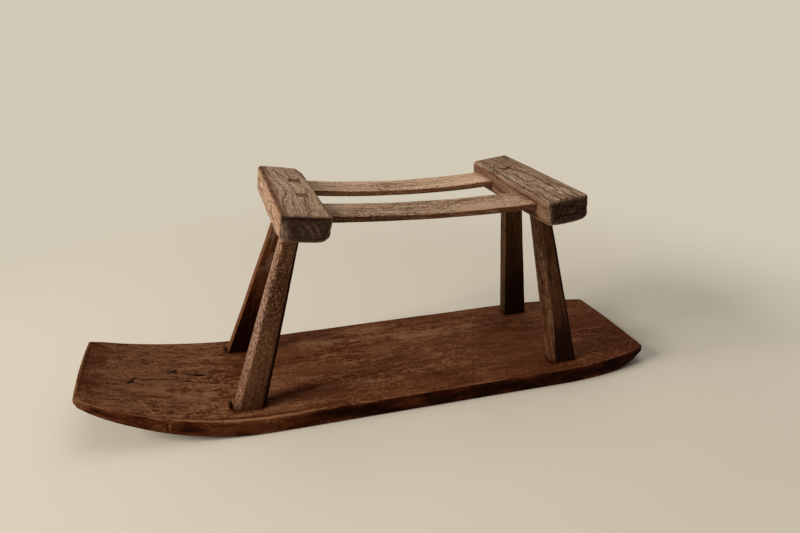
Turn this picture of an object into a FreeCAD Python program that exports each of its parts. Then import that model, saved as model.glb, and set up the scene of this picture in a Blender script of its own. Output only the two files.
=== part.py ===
"""Seat sled: one long wooden board with raised ends carries a small four-legged stool.

Four tapered legs stand in through mortises of the board and splay up to two
thick cross blocks. Two thin sagging slats join the blocks and form the seat.
Every joint is a wooden tenon in a mortise, with no nails.

Millimetres, +Z up. X runs along the board, with the high front end at -X.
The origin lies on the floor, under the middle of the board.
"""

import FreeCAD, Part
import math
import os

Vector = FreeCAD.Vector

# Base board: length, width and thickness of its straight middle
board_length = 727.0
board_width = 220.0
board_thickness = 21.2

# Base board: how its front end narrows on each side, rises and thins
front_end_narrowing = 34.0
front_taper_run = 227.5
front_deck_rise = 44.9
front_deck_run = 224.5
front_end_thickness = 12.2
front_sole_run = 218.5

# Base board: how its rear end narrows on each side, rises and thins
rear_end_narrowing = 24.0
rear_taper_run = 138.5
rear_deck_rise = 2.6
rear_deck_run = 108.5
rear_end_thickness = 5.0
rear_sole_run = 60.5

board_corner_radius = 6.0
board_arris_radius = 2.0

# Cross blocks: size, place of the middle of the top face from the board's end, and lean about Y
front_block_inset = 269.7
front_block_offset_y = -8.0
front_block_width = 56.0
front_block_length = 250.0
front_block_left_thickness = 30.8
front_block_right_thickness = 33.8
front_block_top = 266.4
front_block_lean_deg = 7.4

rear_block_inset = 154.0
rear_block_offset_y = -5.5
rear_block_width = 53.6
rear_block_length = 239.0
rear_block_left_thickness = 31.7
rear_block_right_thickness = 31.7
rear_block_top = 256.1
rear_block_lean_deg = -6.0

block_arris_radius = 3.8

# Legs: middle of the foot on the deck from the board's end, and of the head from the block's middle
front_foot_inset = 191.3
front_foot_y = 76.7
front_head_shift = -4.4
front_head_y = 40.8
rear_foot_inset = 122.6
rear_foot_y = 79.6
rear_head_shift = 4.8
rear_head_y = 46.8

# Legs: width along X and thickness along Y, at foot and head
leg_foot_width = 34.0
leg_head_width = 21.0
leg_foot_thickness = 19.5
leg_head_thickness = 18.0
leg_chamfer = 4.3

# Leg tenons
head_tenon_width = 13.0
head_tenon_thickness = 15.5
front_head_tenon_shift = 2.5
rear_head_tenon_shift = -3.5
head_tenon_recess = 1.2
foot_tenon_width = 20.0
foot_tenon_thickness = 14.0
foot_tenon_recess = 1.0

# Seat slats: section, place and the tenons at their ends
slat_width = 57.0
slat_thickness = 7.2
slat_end_thickness = 9.6
slat_centre_y = 68.3
slat_arris_radius = 1.2
slat_tenon_width = 35.0
slat_tenon_thickness = 8.4
slat_tenon_recess = 1.0

# Seat slats: height of the top inside the front block, at mid span and inside the rear block
left_slat_front_top = 256.3
left_slat_middle_top = 245.0
left_slat_rear_top = 246.5
right_slat_front_top = 253.4
right_slat_middle_top = 238.9
right_slat_rear_top = 242.9

# How level a face is, from upright to flat, for the rim and for the deck or the sole
rim_level_share = 0.3
deck_level_share = 0.7

# Fits
joint_clearance = 0.2
cut_overrun = 20.0

# Places along the board that follow from the sizes above
front_end_x = -board_length / 2
rear_end_x = board_length / 2
front_block_x = front_end_x + front_block_inset
rear_block_x = rear_end_x - rear_block_inset
front_foot_x = front_end_x + front_foot_inset
rear_foot_x = rear_end_x - rear_foot_inset
front_head_x = front_block_x + front_head_shift
rear_head_x = rear_block_x + rear_head_shift
middle_x = (front_block_x + rear_block_x) / 2


def tangent_arc(start_x, start_z, run, rise):
    """Return an arc that leaves the start level along X and climbs by rise over run."""
    radius = (run * run + rise * rise) / (2 * abs(rise))
    half_turn = math.asin(abs(run) / radius) / 2
    side = math.copysign(1, run)
    climb = math.copysign(1, rise)
    middle = Vector(start_x + side * radius * math.sin(half_turn), 0,
                    start_z + climb * radius * (1 - math.cos(half_turn)))
    end = Vector(start_x + run, 0, start_z + rise)
    return Part.Arc(Vector(start_x, 0, start_z), middle, end).toShape()


def line(start, end):
    """Return a straight edge between two points."""
    return Part.makeLine(start, end)


def board_side_profile():
    """Return the board's closed side outline, drawn in the XZ plane."""
    front_deck_z = board_thickness + front_deck_rise
    rear_deck_z = board_thickness + rear_deck_rise
    front_sole_z = front_deck_z - front_end_thickness
    rear_sole_z = rear_deck_z - rear_end_thickness
    deck_front_x = front_end_x + front_deck_run
    deck_rear_x = rear_end_x - rear_deck_run
    sole_front_x = front_end_x + front_sole_run
    sole_rear_x = rear_end_x - rear_sole_run
    edges = [
        tangent_arc(deck_front_x, board_thickness, -front_deck_run, front_deck_rise),
        line(Vector(deck_front_x, 0, board_thickness), Vector(deck_rear_x, 0, board_thickness)),
        tangent_arc(deck_rear_x, board_thickness, rear_deck_run, rear_deck_rise),
        line(Vector(rear_end_x, 0, rear_deck_z), Vector(rear_end_x, 0, rear_sole_z)),
        tangent_arc(sole_rear_x, 0, rear_sole_run, rear_sole_z),
        line(Vector(sole_rear_x, 0, 0), Vector(sole_front_x, 0, 0)),
        tangent_arc(sole_front_x, 0, -front_sole_run, front_sole_z),
        line(Vector(front_end_x, 0, front_sole_z), Vector(front_end_x, 0, front_deck_z)),
    ]
    return Part.Wire(Part.__sortEdges__(edges))


def board_plan_outline():
    """Return the board's closed outline seen from above, drawn in the XY plane."""
    side_y = board_width / 2
    straight_front_x = front_end_x + front_taper_run
    straight_rear_x = rear_end_x - rear_taper_run
    lay_flat = FreeCAD.Placement(Vector(0, 0, 0), FreeCAD.Rotation(Vector(1, 0, 0), 90))
    edges = []
    for side in (-1, 1):
        y = side * side_y
        front_arc = tangent_arc(straight_front_x, side_y, -front_taper_run, -front_end_narrowing)
        rear_arc = tangent_arc(straight_rear_x, side_y, rear_taper_run, -rear_end_narrowing)
        for arc in (front_arc, rear_arc):
            arc.Placement = lay_flat
            edges.append(arc if side < 0 else arc.mirror(Vector(0, 0, 0), Vector(0, 1, 0)))
        edges.append(line(Vector(straight_front_x, y, 0), Vector(straight_rear_x, y, 0)))
    for x, narrowing in ((front_end_x, front_end_narrowing), (rear_end_x, rear_end_narrowing)):
        end_y = side_y - narrowing
        edges.append(line(Vector(x, -end_y, 0), Vector(x, end_y, 0)))
    return Part.Wire(Part.__sortEdges__(edges))


def board_blank():
    """Return the board with no mortises and with sharp arrises."""
    height = board_thickness + front_deck_rise
    side_view = Part.Face(board_side_profile())
    side_view.translate(Vector(0, -board_width / 2 - cut_overrun, 0))
    across = side_view.extrude(Vector(0, board_width + 2 * cut_overrun, 0))
    plan = Part.Face(board_plan_outline())
    plan.translate(Vector(0, 0, -cut_overrun))
    upright = plan.extrude(Vector(0, 0, height + 2 * cut_overrun))
    corners = [edge for edge in upright.Edges
               if abs(abs(edge.CenterOfMass.x) - board_length / 2) < joint_clearance
               and edge.BoundBox.ZLength > height]
    upright = upright.makeFillet(board_corner_radius, corners)
    return across.common(upright).Solids[0]


def outline_edges(shape):
    """Return the edges where the deck or the sole meets the board's rim."""
    chosen = []
    for edge in shape.Edges:
        faces = shape.ancestorsOfType(edge, Part.Face)
        level = [abs(face_normal(face, edge).z) for face in faces]
        if min(level) < rim_level_share and max(level) > deck_level_share:
            chosen.append(edge)
    return chosen


def face_normal(face, edge):
    """Return the face's normal at the middle of one of its edges."""
    middle = edge.valueAt((edge.FirstParameter + edge.LastParameter) / 2)
    u, v = face.Surface.parameter(middle)
    return face.normalAt(u, v)


class Block:
    """One cross block: its size, the middle of its top face and its lean about Y."""

    def __init__(self, x, offset_y, width, length, left_thickness, right_thickness, top, lean_deg):
        self.x = x
        self.offset_y = offset_y
        self.width = width
        self.length = length
        self.left_thickness = left_thickness
        self.right_thickness = right_thickness
        self.top = top
        self.lean_deg = lean_deg

    def thickness(self):
        """Return the thickness at the middle of the block's length."""
        return (self.left_thickness + self.right_thickness) / 2

    def blank(self, arris_radius=0.0, shift_x=0.0, lift=0.0):
        """Return the block with no mortises, moved along X by shift_x and up by lift."""
        half_width = self.width / 2
        half_length = self.length / 2
        end_view = Part.Face(Part.makePolygon([
            Vector(-half_width, -half_length, 0),
            Vector(-half_width, half_length, 0),
            Vector(-half_width, half_length, -self.right_thickness),
            Vector(-half_width, -half_length, -self.left_thickness),
            Vector(-half_width, -half_length, 0),
        ]))
        block = end_view.extrude(Vector(self.width, 0, 0))
        if arris_radius > 0:
            block = block.makeFillet(arris_radius, block.Edges)
        block.rotate(Vector(0, 0, 0), Vector(0, 1, 0), self.lean_deg)
        block.translate(Vector(self.x + shift_x, self.offset_y, self.top + lift))
        return block


front_block = Block(front_block_x, front_block_offset_y, front_block_width, front_block_length,
                    front_block_left_thickness, front_block_right_thickness, front_block_top,
                    front_block_lean_deg)
rear_block = Block(rear_block_x, rear_block_offset_y, rear_block_width, rear_block_length,
                   rear_block_left_thickness, rear_block_right_thickness, rear_block_top,
                   rear_block_lean_deg)


class Leg:
    """One leg: its axis from foot to head, its sections and its tenons."""

    def __init__(self, foot_x, foot_y, head_x, head_y, side, block, head_tenon_shift):
        self.side = side
        self.block = block
        self.head_tenon_shift = Vector(head_tenon_shift, 0, 0)
        self.foot = Vector(foot_x, side * foot_y, board_thickness)
        self.head = Vector(head_x, side * head_y, block.top - block.thickness())
        self.slope = (self.head - self.foot) * (1 / (self.head.z - self.foot.z))

    def axis_at(self, z):
        """Return the point of the leg's axis at height z."""
        return self.foot + self.slope * (z - self.foot.z)

    def section(self, z):
        """Return the level section at height z, with the two outer arrises chamfered."""
        share = (z - self.foot.z) / (self.head.z - self.foot.z)
        half_width = (leg_foot_width + (leg_head_width - leg_foot_width) * share) / 2
        half_thickness = (leg_foot_thickness + (leg_head_thickness - leg_foot_thickness) * share) / 2
        outer = self.side * half_thickness
        chamfer_y = outer - self.side * leg_chamfer
        chamfer_x = half_width - leg_chamfer
        outline = [
            Vector(-half_width, -outer, 0),
            Vector(half_width, -outer, 0),
            Vector(half_width, chamfer_y, 0),
            Vector(chamfer_x, outer, 0),
            Vector(-chamfer_x, outer, 0),
            Vector(-half_width, chamfer_y, 0),
        ]
        centre = self.axis_at(z)
        points = [centre + point for point in outline]
        return Part.makePolygon(points + points[:1])

    def shank(self):
        """Return the tapered leg, running on into board and block."""
        low = self.section(self.foot.z - board_thickness / 2)
        high = self.section(self.head.z + self.block.thickness() / 2)
        return Part.makeLoft([low, high], True, True)

    def tenon(self, z_low, z_high, width, thickness, shift):
        """Return a straight tenon along the leg's axis between two heights."""
        base = self.axis_at(z_low) + shift
        points = [base + Vector(i * width / 2, j * thickness / 2, 0)
                  for i, j in ((-1, -1), (1, -1), (1, 1), (-1, 1))]
        face = Part.Face(Part.makePolygon(points + points[:1]))
        return face.extrude(self.axis_at(z_high) + shift - base)

    def head_tenon(self, grow=0.0):
        """Return the tenon that runs through the block, grown on all four sides."""
        return self.tenon(self.head.z - self.block.thickness() / 2,
                          self.head.z + 2 * self.block.thickness(),
                          head_tenon_width + 2 * grow, head_tenon_thickness + 2 * grow,
                          self.head_tenon_shift)

    def foot_tenon(self, grow=0.0):
        """Return the tenon that runs through the board, grown on all four sides."""
        return self.tenon(self.foot.z - 2 * board_thickness,
                          self.foot.z + board_thickness / 2,
                          foot_tenon_width + 2 * grow, foot_tenon_thickness + 2 * grow,
                          Vector(0, 0, 0))

    def solid(self, board):
        """Return the whole leg, shouldered on the deck and under the block."""
        block = self.block.blank()
        shank = self.shank().cut(board).cut(block)
        shank = max(shank.Solids, key=lambda piece: piece.Volume)
        above_recess = Part.makeBox(board_length, board_width, board_thickness + front_deck_rise,
                                    Vector(-board_length / 2, -board_width / 2, foot_tenon_recess))
        foot = self.foot_tenon().common(board).common(above_recess)
        head = self.head_tenon().common(block).common(self.block.blank(lift=-head_tenon_recess))
        return shank.fuse(foot).fuse(head).removeSplitter()


def make_legs():
    """Return the four legs by name."""
    legs = {}
    for name, side in (("left", -1), ("right", 1)):
        legs["leg_front_" + name] = Leg(front_foot_x, front_foot_y, front_head_x, front_head_y,
                                        side, front_block, front_head_tenon_shift)
        legs["leg_rear_" + name] = Leg(rear_foot_x, rear_foot_y, rear_head_x, rear_head_y,
                                       side, rear_block, rear_head_tenon_shift)
    return legs


class Slat:
    """One sagging seat slat: the heights of its top along X and its place in Y."""

    def __init__(self, centre_y, front_top, middle_top, rear_top):
        self.centre_y = centre_y
        self.front_top = front_top
        self.middle_top = middle_top
        self.rear_top = rear_top

    def top_at(self, x):
        """Return the height of the top at x, on the parabola through the three named heights."""
        half_span = (rear_block_x - front_block_x) / 2
        share = (x - front_block_x - half_span) / half_span
        slope = (self.rear_top - self.front_top) / 2
        bend = (self.rear_top + self.front_top) / 2 - self.middle_top
        return self.middle_top + slope * share + bend * share * share

    def bar(self, middle_thickness, end_thickness, width, drop):
        """Return a bar that runs past both blocks, its top lying lower by drop."""
        y = self.centre_y - width / 2
        thickness = {front_block_x - front_block_width: end_thickness,
                     middle_x: middle_thickness,
                     rear_block_x + rear_block_width: end_thickness}
        top = [Vector(x, y, self.top_at(x) - drop) for x in thickness]
        bottom = [point - Vector(0, 0, thickness[point.x]) for point in top]
        edges = [
            Part.Arc(top[0], top[1], top[2]).toShape(),
            line(top[2], bottom[2]),
            Part.Arc(bottom[0], bottom[1], bottom[2]).toShape(),
            line(bottom[0], top[0]),
        ]
        profile = Part.Face(Part.Wire(Part.__sortEdges__(edges)))
        return profile.extrude(Vector(0, width, 0))

    def span(self):
        """Return the full section between the blocks, with its long arrises rounded."""
        bar = self.bar(slat_thickness, slat_end_thickness, slat_width, 0)
        long_edges = [edge for edge in bar.Edges if edge.BoundBox.XLength > slat_width]
        bar = bar.makeFillet(slat_arris_radius, long_edges)
        bar = bar.cut(front_block.blank()).cut(rear_block.blank())
        return min(bar.Solids, key=lambda piece: abs(piece.CenterOfMass.x - middle_x))

    def core(self, grow=0.0):
        """Return the smaller bar whose ends are the tenons, grown on all four sides."""
        shoulder = (slat_end_thickness - slat_tenon_thickness) / 2
        return self.bar(slat_thickness - 2 * shoulder + 2 * grow,
                        slat_tenon_thickness + 2 * grow,
                        slat_tenon_width + 2 * grow, shoulder - grow)

    def solid(self):
        """Return the slat, its tenons ending just inside the blocks' outer faces."""
        beyond_front = front_block.blank(shift_x=slat_tenon_recess - front_block_width)
        beyond_rear = rear_block.blank(shift_x=rear_block_width - slat_tenon_recess)
        core = self.core().cut(beyond_front).cut(beyond_rear)
        core = min(core.Solids, key=lambda piece: abs(piece.CenterOfMass.x - middle_x))
        return self.span().fuse(core).removeSplitter()


def make_slats():
    """Return the two seat slats by name."""
    return {
        "seat_slat_left": Slat(-slat_centre_y, left_slat_front_top, left_slat_middle_top,
                               left_slat_rear_top),
        "seat_slat_right": Slat(slat_centre_y, right_slat_front_top, right_slat_middle_top,
                                right_slat_rear_top),
    }


def build_parts():
    """Return every piece of the sled by node name."""
    legs = make_legs()
    slats = make_slats()
    sharp_board = board_blank()
    board = sharp_board.makeFillet(board_arris_radius, outline_edges(sharp_board))
    blocks = {"cross_block_front": front_block, "cross_block_rear": rear_block}
    parts = {}
    for name, leg in legs.items():
        parts[name] = leg.solid(sharp_board)
        board = board.cut(leg.foot_tenon(joint_clearance))
    for name, slat in slats.items():
        parts[name] = slat.solid()
    for name, block in blocks.items():
        shape = block.blank(block_arris_radius)
        for leg in legs.values():
            shape = shape.cut(leg.head_tenon(joint_clearance))
        for slat in slats.values():
            shape = shape.cut(slat.core(joint_clearance))
        parts[name] = shape
    parts["base_board"] = board
    return parts


def main():
    """Build every piece and write one STEP file for each."""
    os.makedirs("parts", exist_ok=True)
    for name, shape in build_parts().items():
        solids = shape.Solids
        if len(solids) != 1 or not shape.isValid():
            raise ValueError(name + " is not one valid solid: " + str(len(solids)))
        solids[0].exportStep("parts/" + name + ".step")
        box = solids[0].BoundBox
        print(name, "volume", round(solids[0].Volume), "x", round(box.XMin, 1), round(box.XMax, 1),
              "y", round(box.YMin, 1), round(box.YMax, 1), "z", round(box.ZMin, 1), round(box.ZMax, 1))


main()
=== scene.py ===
"""Looks of the seat sled: one long worn board that carries a small four-legged stool.

Every piece is a closed shell worked out with numpy. Sizes are in millimetres in the CAD part's frame, with
+X along the board from its high front end to its low rear end, +Y to the right and +Z up, and a mesh is
written in metres. Each shell carries where its wood lay in the tree, so that the grain follows the piece,
and how worn, grimy or cracked it is there, with painted light laid into the wear and painted shade into
the grime.
"""

import logging
import math
from collections.abc import Callable
from dataclasses import dataclass, replace
from enum import Enum
from functools import partial
from itertools import product

import bpy
import numpy as np
from mathutils import Matrix


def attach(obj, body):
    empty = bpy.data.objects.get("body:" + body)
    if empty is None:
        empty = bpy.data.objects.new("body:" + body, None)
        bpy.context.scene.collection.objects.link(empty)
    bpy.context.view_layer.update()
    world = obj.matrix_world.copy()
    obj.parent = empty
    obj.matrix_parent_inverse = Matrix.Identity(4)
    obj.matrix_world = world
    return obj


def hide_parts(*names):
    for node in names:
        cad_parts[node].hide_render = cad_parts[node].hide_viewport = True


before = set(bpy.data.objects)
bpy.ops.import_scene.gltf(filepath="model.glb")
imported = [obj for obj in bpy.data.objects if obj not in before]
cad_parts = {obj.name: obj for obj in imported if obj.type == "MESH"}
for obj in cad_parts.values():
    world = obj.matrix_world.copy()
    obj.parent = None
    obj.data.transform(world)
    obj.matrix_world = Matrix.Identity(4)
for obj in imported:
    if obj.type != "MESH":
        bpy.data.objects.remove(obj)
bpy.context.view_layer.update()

Array = np.ndarray
Triple = tuple[float, float, float]
Colour = Triple
Point = tuple[float, float]

METRE = 0.001
TINY = 1e-9
SHARP_ANGLE = math.radians(50.0)
log = logging.getLogger("seat_sled")


# Numbers over space

class Noise:
    """Smooth random numbers over space, the same on each run."""

    HASH = (73856093, 19349663, 83492791)
    TABLE = 8192
    OCTAVE_SHIFT = 17.3
    OCTAVE_SUM = 1.5

    def __init__(self, seed: int) -> None:
        """Draw the table of random numbers.

        Args:
            seed: Start of the random draw.
        """
        self.table = np.random.default_rng(seed).uniform(-1.0, 1.0, self.TABLE)

    def plain(self, points: Array, cell: Triple) -> Array:
        """Blend the random numbers at the eight corners of each point's cell with quintic weights.

        Args:
            points: Places in mm, one row each.
            cell: Size of a cell in mm along each axis.

        Returns:
            Numbers from -1 to 1.
        """
        place = points / np.asarray(cell)
        base = np.floor(place).astype(np.int64)
        share = place - base
        share = share ** 3 * (share * (share * 6 - 15) + 10)
        low = base * np.asarray(self.HASH)
        ends, weights = (low, low + np.asarray(self.HASH)), (1 - share, share)
        total = np.zeros(len(points))
        for i, j, k in product((0, 1), repeat=3):
            pick = (ends[i][:, 0] ^ ends[j][:, 1] ^ ends[k][:, 2]) % self.TABLE
            total += weights[i][:, 0] * weights[j][:, 1] * weights[k][:, 2] * self.table[pick]
        return total

    def fractal(self, points: Array, cell: Triple, octaves: int = 3) -> Array:
        """Add octaves of plain noise, each with half the cell and half the weight of the last.

        Args:
            points: Places in mm, one row each.
            cell: Size of the largest cell in mm along each axis.
            octaves: How many octaves are added.

        Returns:
            Numbers from about -1 to 1.
        """
        sizes = np.asarray(cell, float)
        total = np.zeros(len(points))
        for octave in range(octaves):
            total += self.plain(points + self.OCTAVE_SHIFT * octave, sizes / 2 ** octave) / 2 ** octave
        return total / self.OCTAVE_SUM


def smooth(values: Array, low: float, high: float) -> Array:
    """Rise smoothly from 0 at low to 1 at high, by 3 t squared minus 2 t cubed."""
    share = np.clip((values - low) / (high - low), 0.0, 1.0)
    return share * share * (3 - 2 * share)


def columns(*parts: Array | float) -> Array:
    """Put what is known of each point side by side, one column for each part."""
    return np.stack(np.broadcast_arrays(*parts), -1)


def bell(distance: Array, reach: float) -> Array:
    """One at no distance, falling off as e to the minus square of the distance over the reach."""
    return np.exp(-(distance / reach) ** 2)


def arc_rise(distance: Array, run: float, rise: float) -> Array:
    """Height of a circular arc that starts level and climbs by rise over run.

    The circle's radius is (run squared + rise squared) / (2 rise), and the height at a distance is the
    radius minus the root of radius squared minus distance squared.

    Args:
        distance: How far from the arc's start, which is held between 0 and run.
        run: Level length of the arc.
        rise: Height at the arc's end.

    Returns:
        The height over the start.
    """
    radius = (run * run + rise * rise) / (2 * rise)
    held = np.clip(distance, 0.0, run)
    return radius - np.sqrt(radius * radius - held * held)


def spaced_lines(half: float, step: float, ends: Point, fine: tuple = ()) -> Array:
    """Places of grid lines from minus half to half, closer together near both ends and the fine places.

    The spacing falls from step to a smaller one as a flat-topped bell over the reach, and the lines stand
    where the sum of one over the spacing is a whole number.

    Args:
        half: Half the length that the lines cover.
        step: Spacing away from the fine places.
        ends: The reach and the spacing at both ends.
        fine: A place, a reach and a spacing for each further fine place.

    Returns:
        The lines' places.
    """
    samples = 6001
    at = np.linspace(-half, half, samples)
    spacing = np.full_like(at, step)
    for place, reach, small in ((-half, *ends), (half, *ends), *fine):
        bell = np.exp(-((at - place) / reach) ** 4)
        spacing = np.minimum(spacing, step + (small - step) * bell)
    count = np.concatenate([[0.0], np.cumsum(np.diff(at) * 2 / (spacing[1:] + spacing[:-1]))])
    return np.interp(np.linspace(0.0, count[-1], int(round(count[-1])) + 1), count, at)


def stage_lines(first: int, between: int, last: int) -> Array:
    """Grid lines of a stage: -1 to 0 over a tenon, 0 to 1 over what lies between, 1 to 2 over a tenon."""
    return np.concatenate([np.linspace(-1.0, -0.001, first), np.linspace(0.0, 1.0, between),
                           np.linspace(1.001, 2.0, last)])


def by_stage(stage: Array, first: Array, between: Array, last: Array) -> Array:
    """Take the first value below stage 0, the last one above stage 1, and the middle one between them."""
    return np.where(stage < 0, first, np.where(stage > 1, last, between))


def band_lines(middle: int, edge: int) -> Array:
    """Grid lines in band form: -1 to 1 over a side's middle, and on to -2 and 2 over its arris bands."""
    outer = np.linspace(1.0, 2.0, edge + 1)
    return np.concatenate([-outer[::-1], np.linspace(-1.0, 1.0, middle + 1)[1:-1], outer])


def from_bands(lines: Array, half: Array, band: Array) -> Array:
    """Turn band form into mm: the middle is stretched to fit, and each band keeps its own width."""
    beyond = np.clip(np.abs(lines) - 1, 0.0, 1.0)
    return np.clip(lines, -1.0, 1.0) * (half - band) + np.sign(lines) * beyond * band


def round_arrises(box: Array, half: Array, radius: Array) -> Array:
    """Round the arrises of a box.

    Each point goes to the nearest point of an inner box that is smaller by the radius on every side, and
    out again by the radius along the line between the two.

    Args:
        box: Points on the box's skin.
        half: The box's half sizes at each point.
        radius: The rounding at each point.

    Returns:
        The rounded points.
    """
    inner = np.clip(box, radius[:, None] - half, half - radius[:, None])
    out = box - inner
    length = np.maximum(np.linalg.norm(out, axis=1, keepdims=True), TINY)
    return inner + out * radius[:, None] / length


def arris_share(box: Array, half: Array, reach: float) -> Array:
    """One on an arris, and a bell over reach of the middle one of the three distances to the sides."""
    return bell(np.sort(half - np.abs(box), axis=1)[:, 1], reach)


# Shells

class Shell:
    """The skin of a grid of cells, closed like a box, with quads that face outwards."""

    def __init__(self, u: Array, v: Array, w: Array) -> None:
        """Number the grid points on the skin and join them.

        Args:
            u: Grid lines along the first axis.
            v: Grid lines along the second axis.
            w: Grid lines along the third axis.
        """
        shape = (len(u), len(v), len(w))
        skin = np.ones(shape, bool)
        skin[1:-1, 1:-1, 1:-1] = False
        number = np.full(shape, -1)
        number[skin] = np.arange(skin.sum())
        self.grid = np.stack(np.meshgrid(u, v, w, indexing="ij"), -1)[skin]
        quads = []
        for axis, end in product(range(3), (0, -1)):
            sheet = np.take(number, end, axis=axis)
            corners = columns(sheet[:-1, :-1], sheet[1:, :-1], sheet[1:, 1:], sheet[:-1, 1:])
            inward = (end == 0) != (axis == 1)
            quads.append(corners.reshape(-1, 4)[:, ::-1] if inward else corners.reshape(-1, 4))
        self.quads = np.concatenate(quads)

    def normals(self, points: Array) -> Array:
        """Unit normals: at each point the cross products of the diagonals of its quads are summed.

        Args:
            points: Places of the shell's points.

        Returns:
            A unit vector for each point.
        """
        corners = points[self.quads]
        cross = np.cross(corners[:, 2] - corners[:, 0], corners[:, 3] - corners[:, 1])
        total = columns(*(sum(np.bincount(self.quads[:, k], cross[:, axis], len(points)) for k in range(4))
                          for axis in range(3)))
        return total / np.maximum(np.linalg.norm(total, axis=1, keepdims=True), TINY)


class Face(Enum):
    """A side of a piece: its normal's axis and sign, and the two axes in which marks on it are drawn."""

    TOP = (2, 1, 0, 1)
    UNDER = (2, -1, 0, 1)
    LEFT = (1, -1, 0, 2)
    FRONT = (0, -1, 1, 2)
    REAR = (0, 1, 1, 2)


class Wear(Enum):
    """A kind of mark: how much it bares, soils and opens the wood."""

    CRACK = (0.0, 0.45, 1.0)
    GOUGE = (0.0, 0.75, 0.35)
    STAIN = (0.0, 0.8, 0.0)
    SCRATCH = (0.9, 0.0, 0.0)
    RUB = (0.6, 0.0, 0.0)


@dataclass(frozen=True)
class Mark:
    """A line on a face, in mm, with a width and a depth: most are use marks, a few painted shade or light."""

    wear: Wear
    path: tuple[Point, ...]
    width: float
    depth: float = 0.0
    face: Face = Face.TOP
    strength: float = 1.0

    def cover(self, points: Array, normals: Array, noise: Noise) -> Array:
        """How fully the mark covers each point.

        It is a bell of the distance from the line over the width. The line is first bent by noise, and
        the width shrinks to a third towards both ends of a thin line.

        Args:
            points: Places in the piece's own frame.
            normals: Unit normals there.
            noise: What bends the line.

        Returns:
            Numbers from 0 to 1.
        """
        axis, sign, first, second = self.face.value
        place = points[:, [first, second]].copy()
        waver = 0.35 + 0.42 * min(self.width, 5.0)
        place[:, 1] += noise.fractal(points, (9, 9, 9), 2) * waver
        knots = np.asarray(self.path, float)
        lengths = np.linalg.norm(np.diff(knots, axis=0), axis=1)
        done, whole = 0.0, lengths.sum()
        near = np.full(len(points), np.inf)
        along = np.zeros(len(points))
        for start, end, length in zip(knots[:-1], knots[1:], lengths):
            share = np.clip((place - start) @ (end - start) / length ** 2, 0.0, 1.0)
            gap = np.linalg.norm(place - start - share[:, None] * (end - start), axis=1)
            along = np.where(gap < near, done + share * length, along)
            near = np.minimum(near, gap)
            done += length
        taper = np.minimum(along, whole - along) / max(0.25 * whole, TINY)
        width = self.width * (1 / 3 + 2 / 3 * smooth(taper, 0.0, 1.0))
        return bell(near, width) * smooth(normals[:, axis] * sign, 0.35, 0.8)


def marks_of(wear: Wear, face: Face, *rows: tuple) -> tuple[Mark, ...]:
    """Marks of one kind on one face, each a row of its width, depth, strength and the points of its line."""
    return tuple(Mark(wear, row[3:], row[0], row[1], face, row[2]) for row in rows)


@dataclass(frozen=True)
class Pocket:
    """A mortise seen on a face: its borders on the face's two drawing axes, and how deep it is let in."""

    low: Point
    high: Point
    face: Face = Face.TOP
    depth: float = 4.0

    GAP = 0.24

    def borders(self, axis: int) -> tuple[float, ...]:
        """The pocket's two borders on an axis.

        Args:
            axis: The axis.

        Returns:
            Two places, or none where the axis isn't one of the face's drawing axes.
        """
        drawing = self.face.value[2:]
        return (self.low[drawing.index(axis)], self.high[drawing.index(axis)]) if axis in drawing else ()

    def inside(self, place: Array, reach: Array) -> Array:
        """Find the grid points of the pocket's floor.

        Args:
            place: Places of the grid points.
            reach: How far the face lies from 0 along each axis.

        Returns:
            True for the points of the face that lie within all four borders.
        """
        axis, sign, *drawing = self.face.value
        found = place[:, axis] * sign > reach[..., axis] - TINY * 1000
        for one, low, high in zip(drawing, self.low, self.high):
            found &= (place[:, one] > low) & (place[:, one] < high)
        return found


def with_borders(lines: Array, pockets: tuple[Pocket, ...], axis: int, shift: float = 0.0) -> Array:
    """Move the two lines nearest to each pocket's borders to the border's two sides, for the pocket's wall.

    Args:
        lines: Grid lines along the axis.
        pockets: The pockets.
        axis: The axis.
        shift: The grid's measure of a place that the pockets call 0.

    Returns:
        The lines.
    """
    moved = lines.copy()
    for border in sum((pocket.borders(axis) for pocket in pockets), ()):
        k = int(np.clip(np.searchsorted(moved, border + shift), 2, len(moved) - 2))
        moved[k - 1], moved[k] = border + shift - Pocket.GAP / 2, border + shift + Pocket.GAP / 2
    return moved


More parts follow.
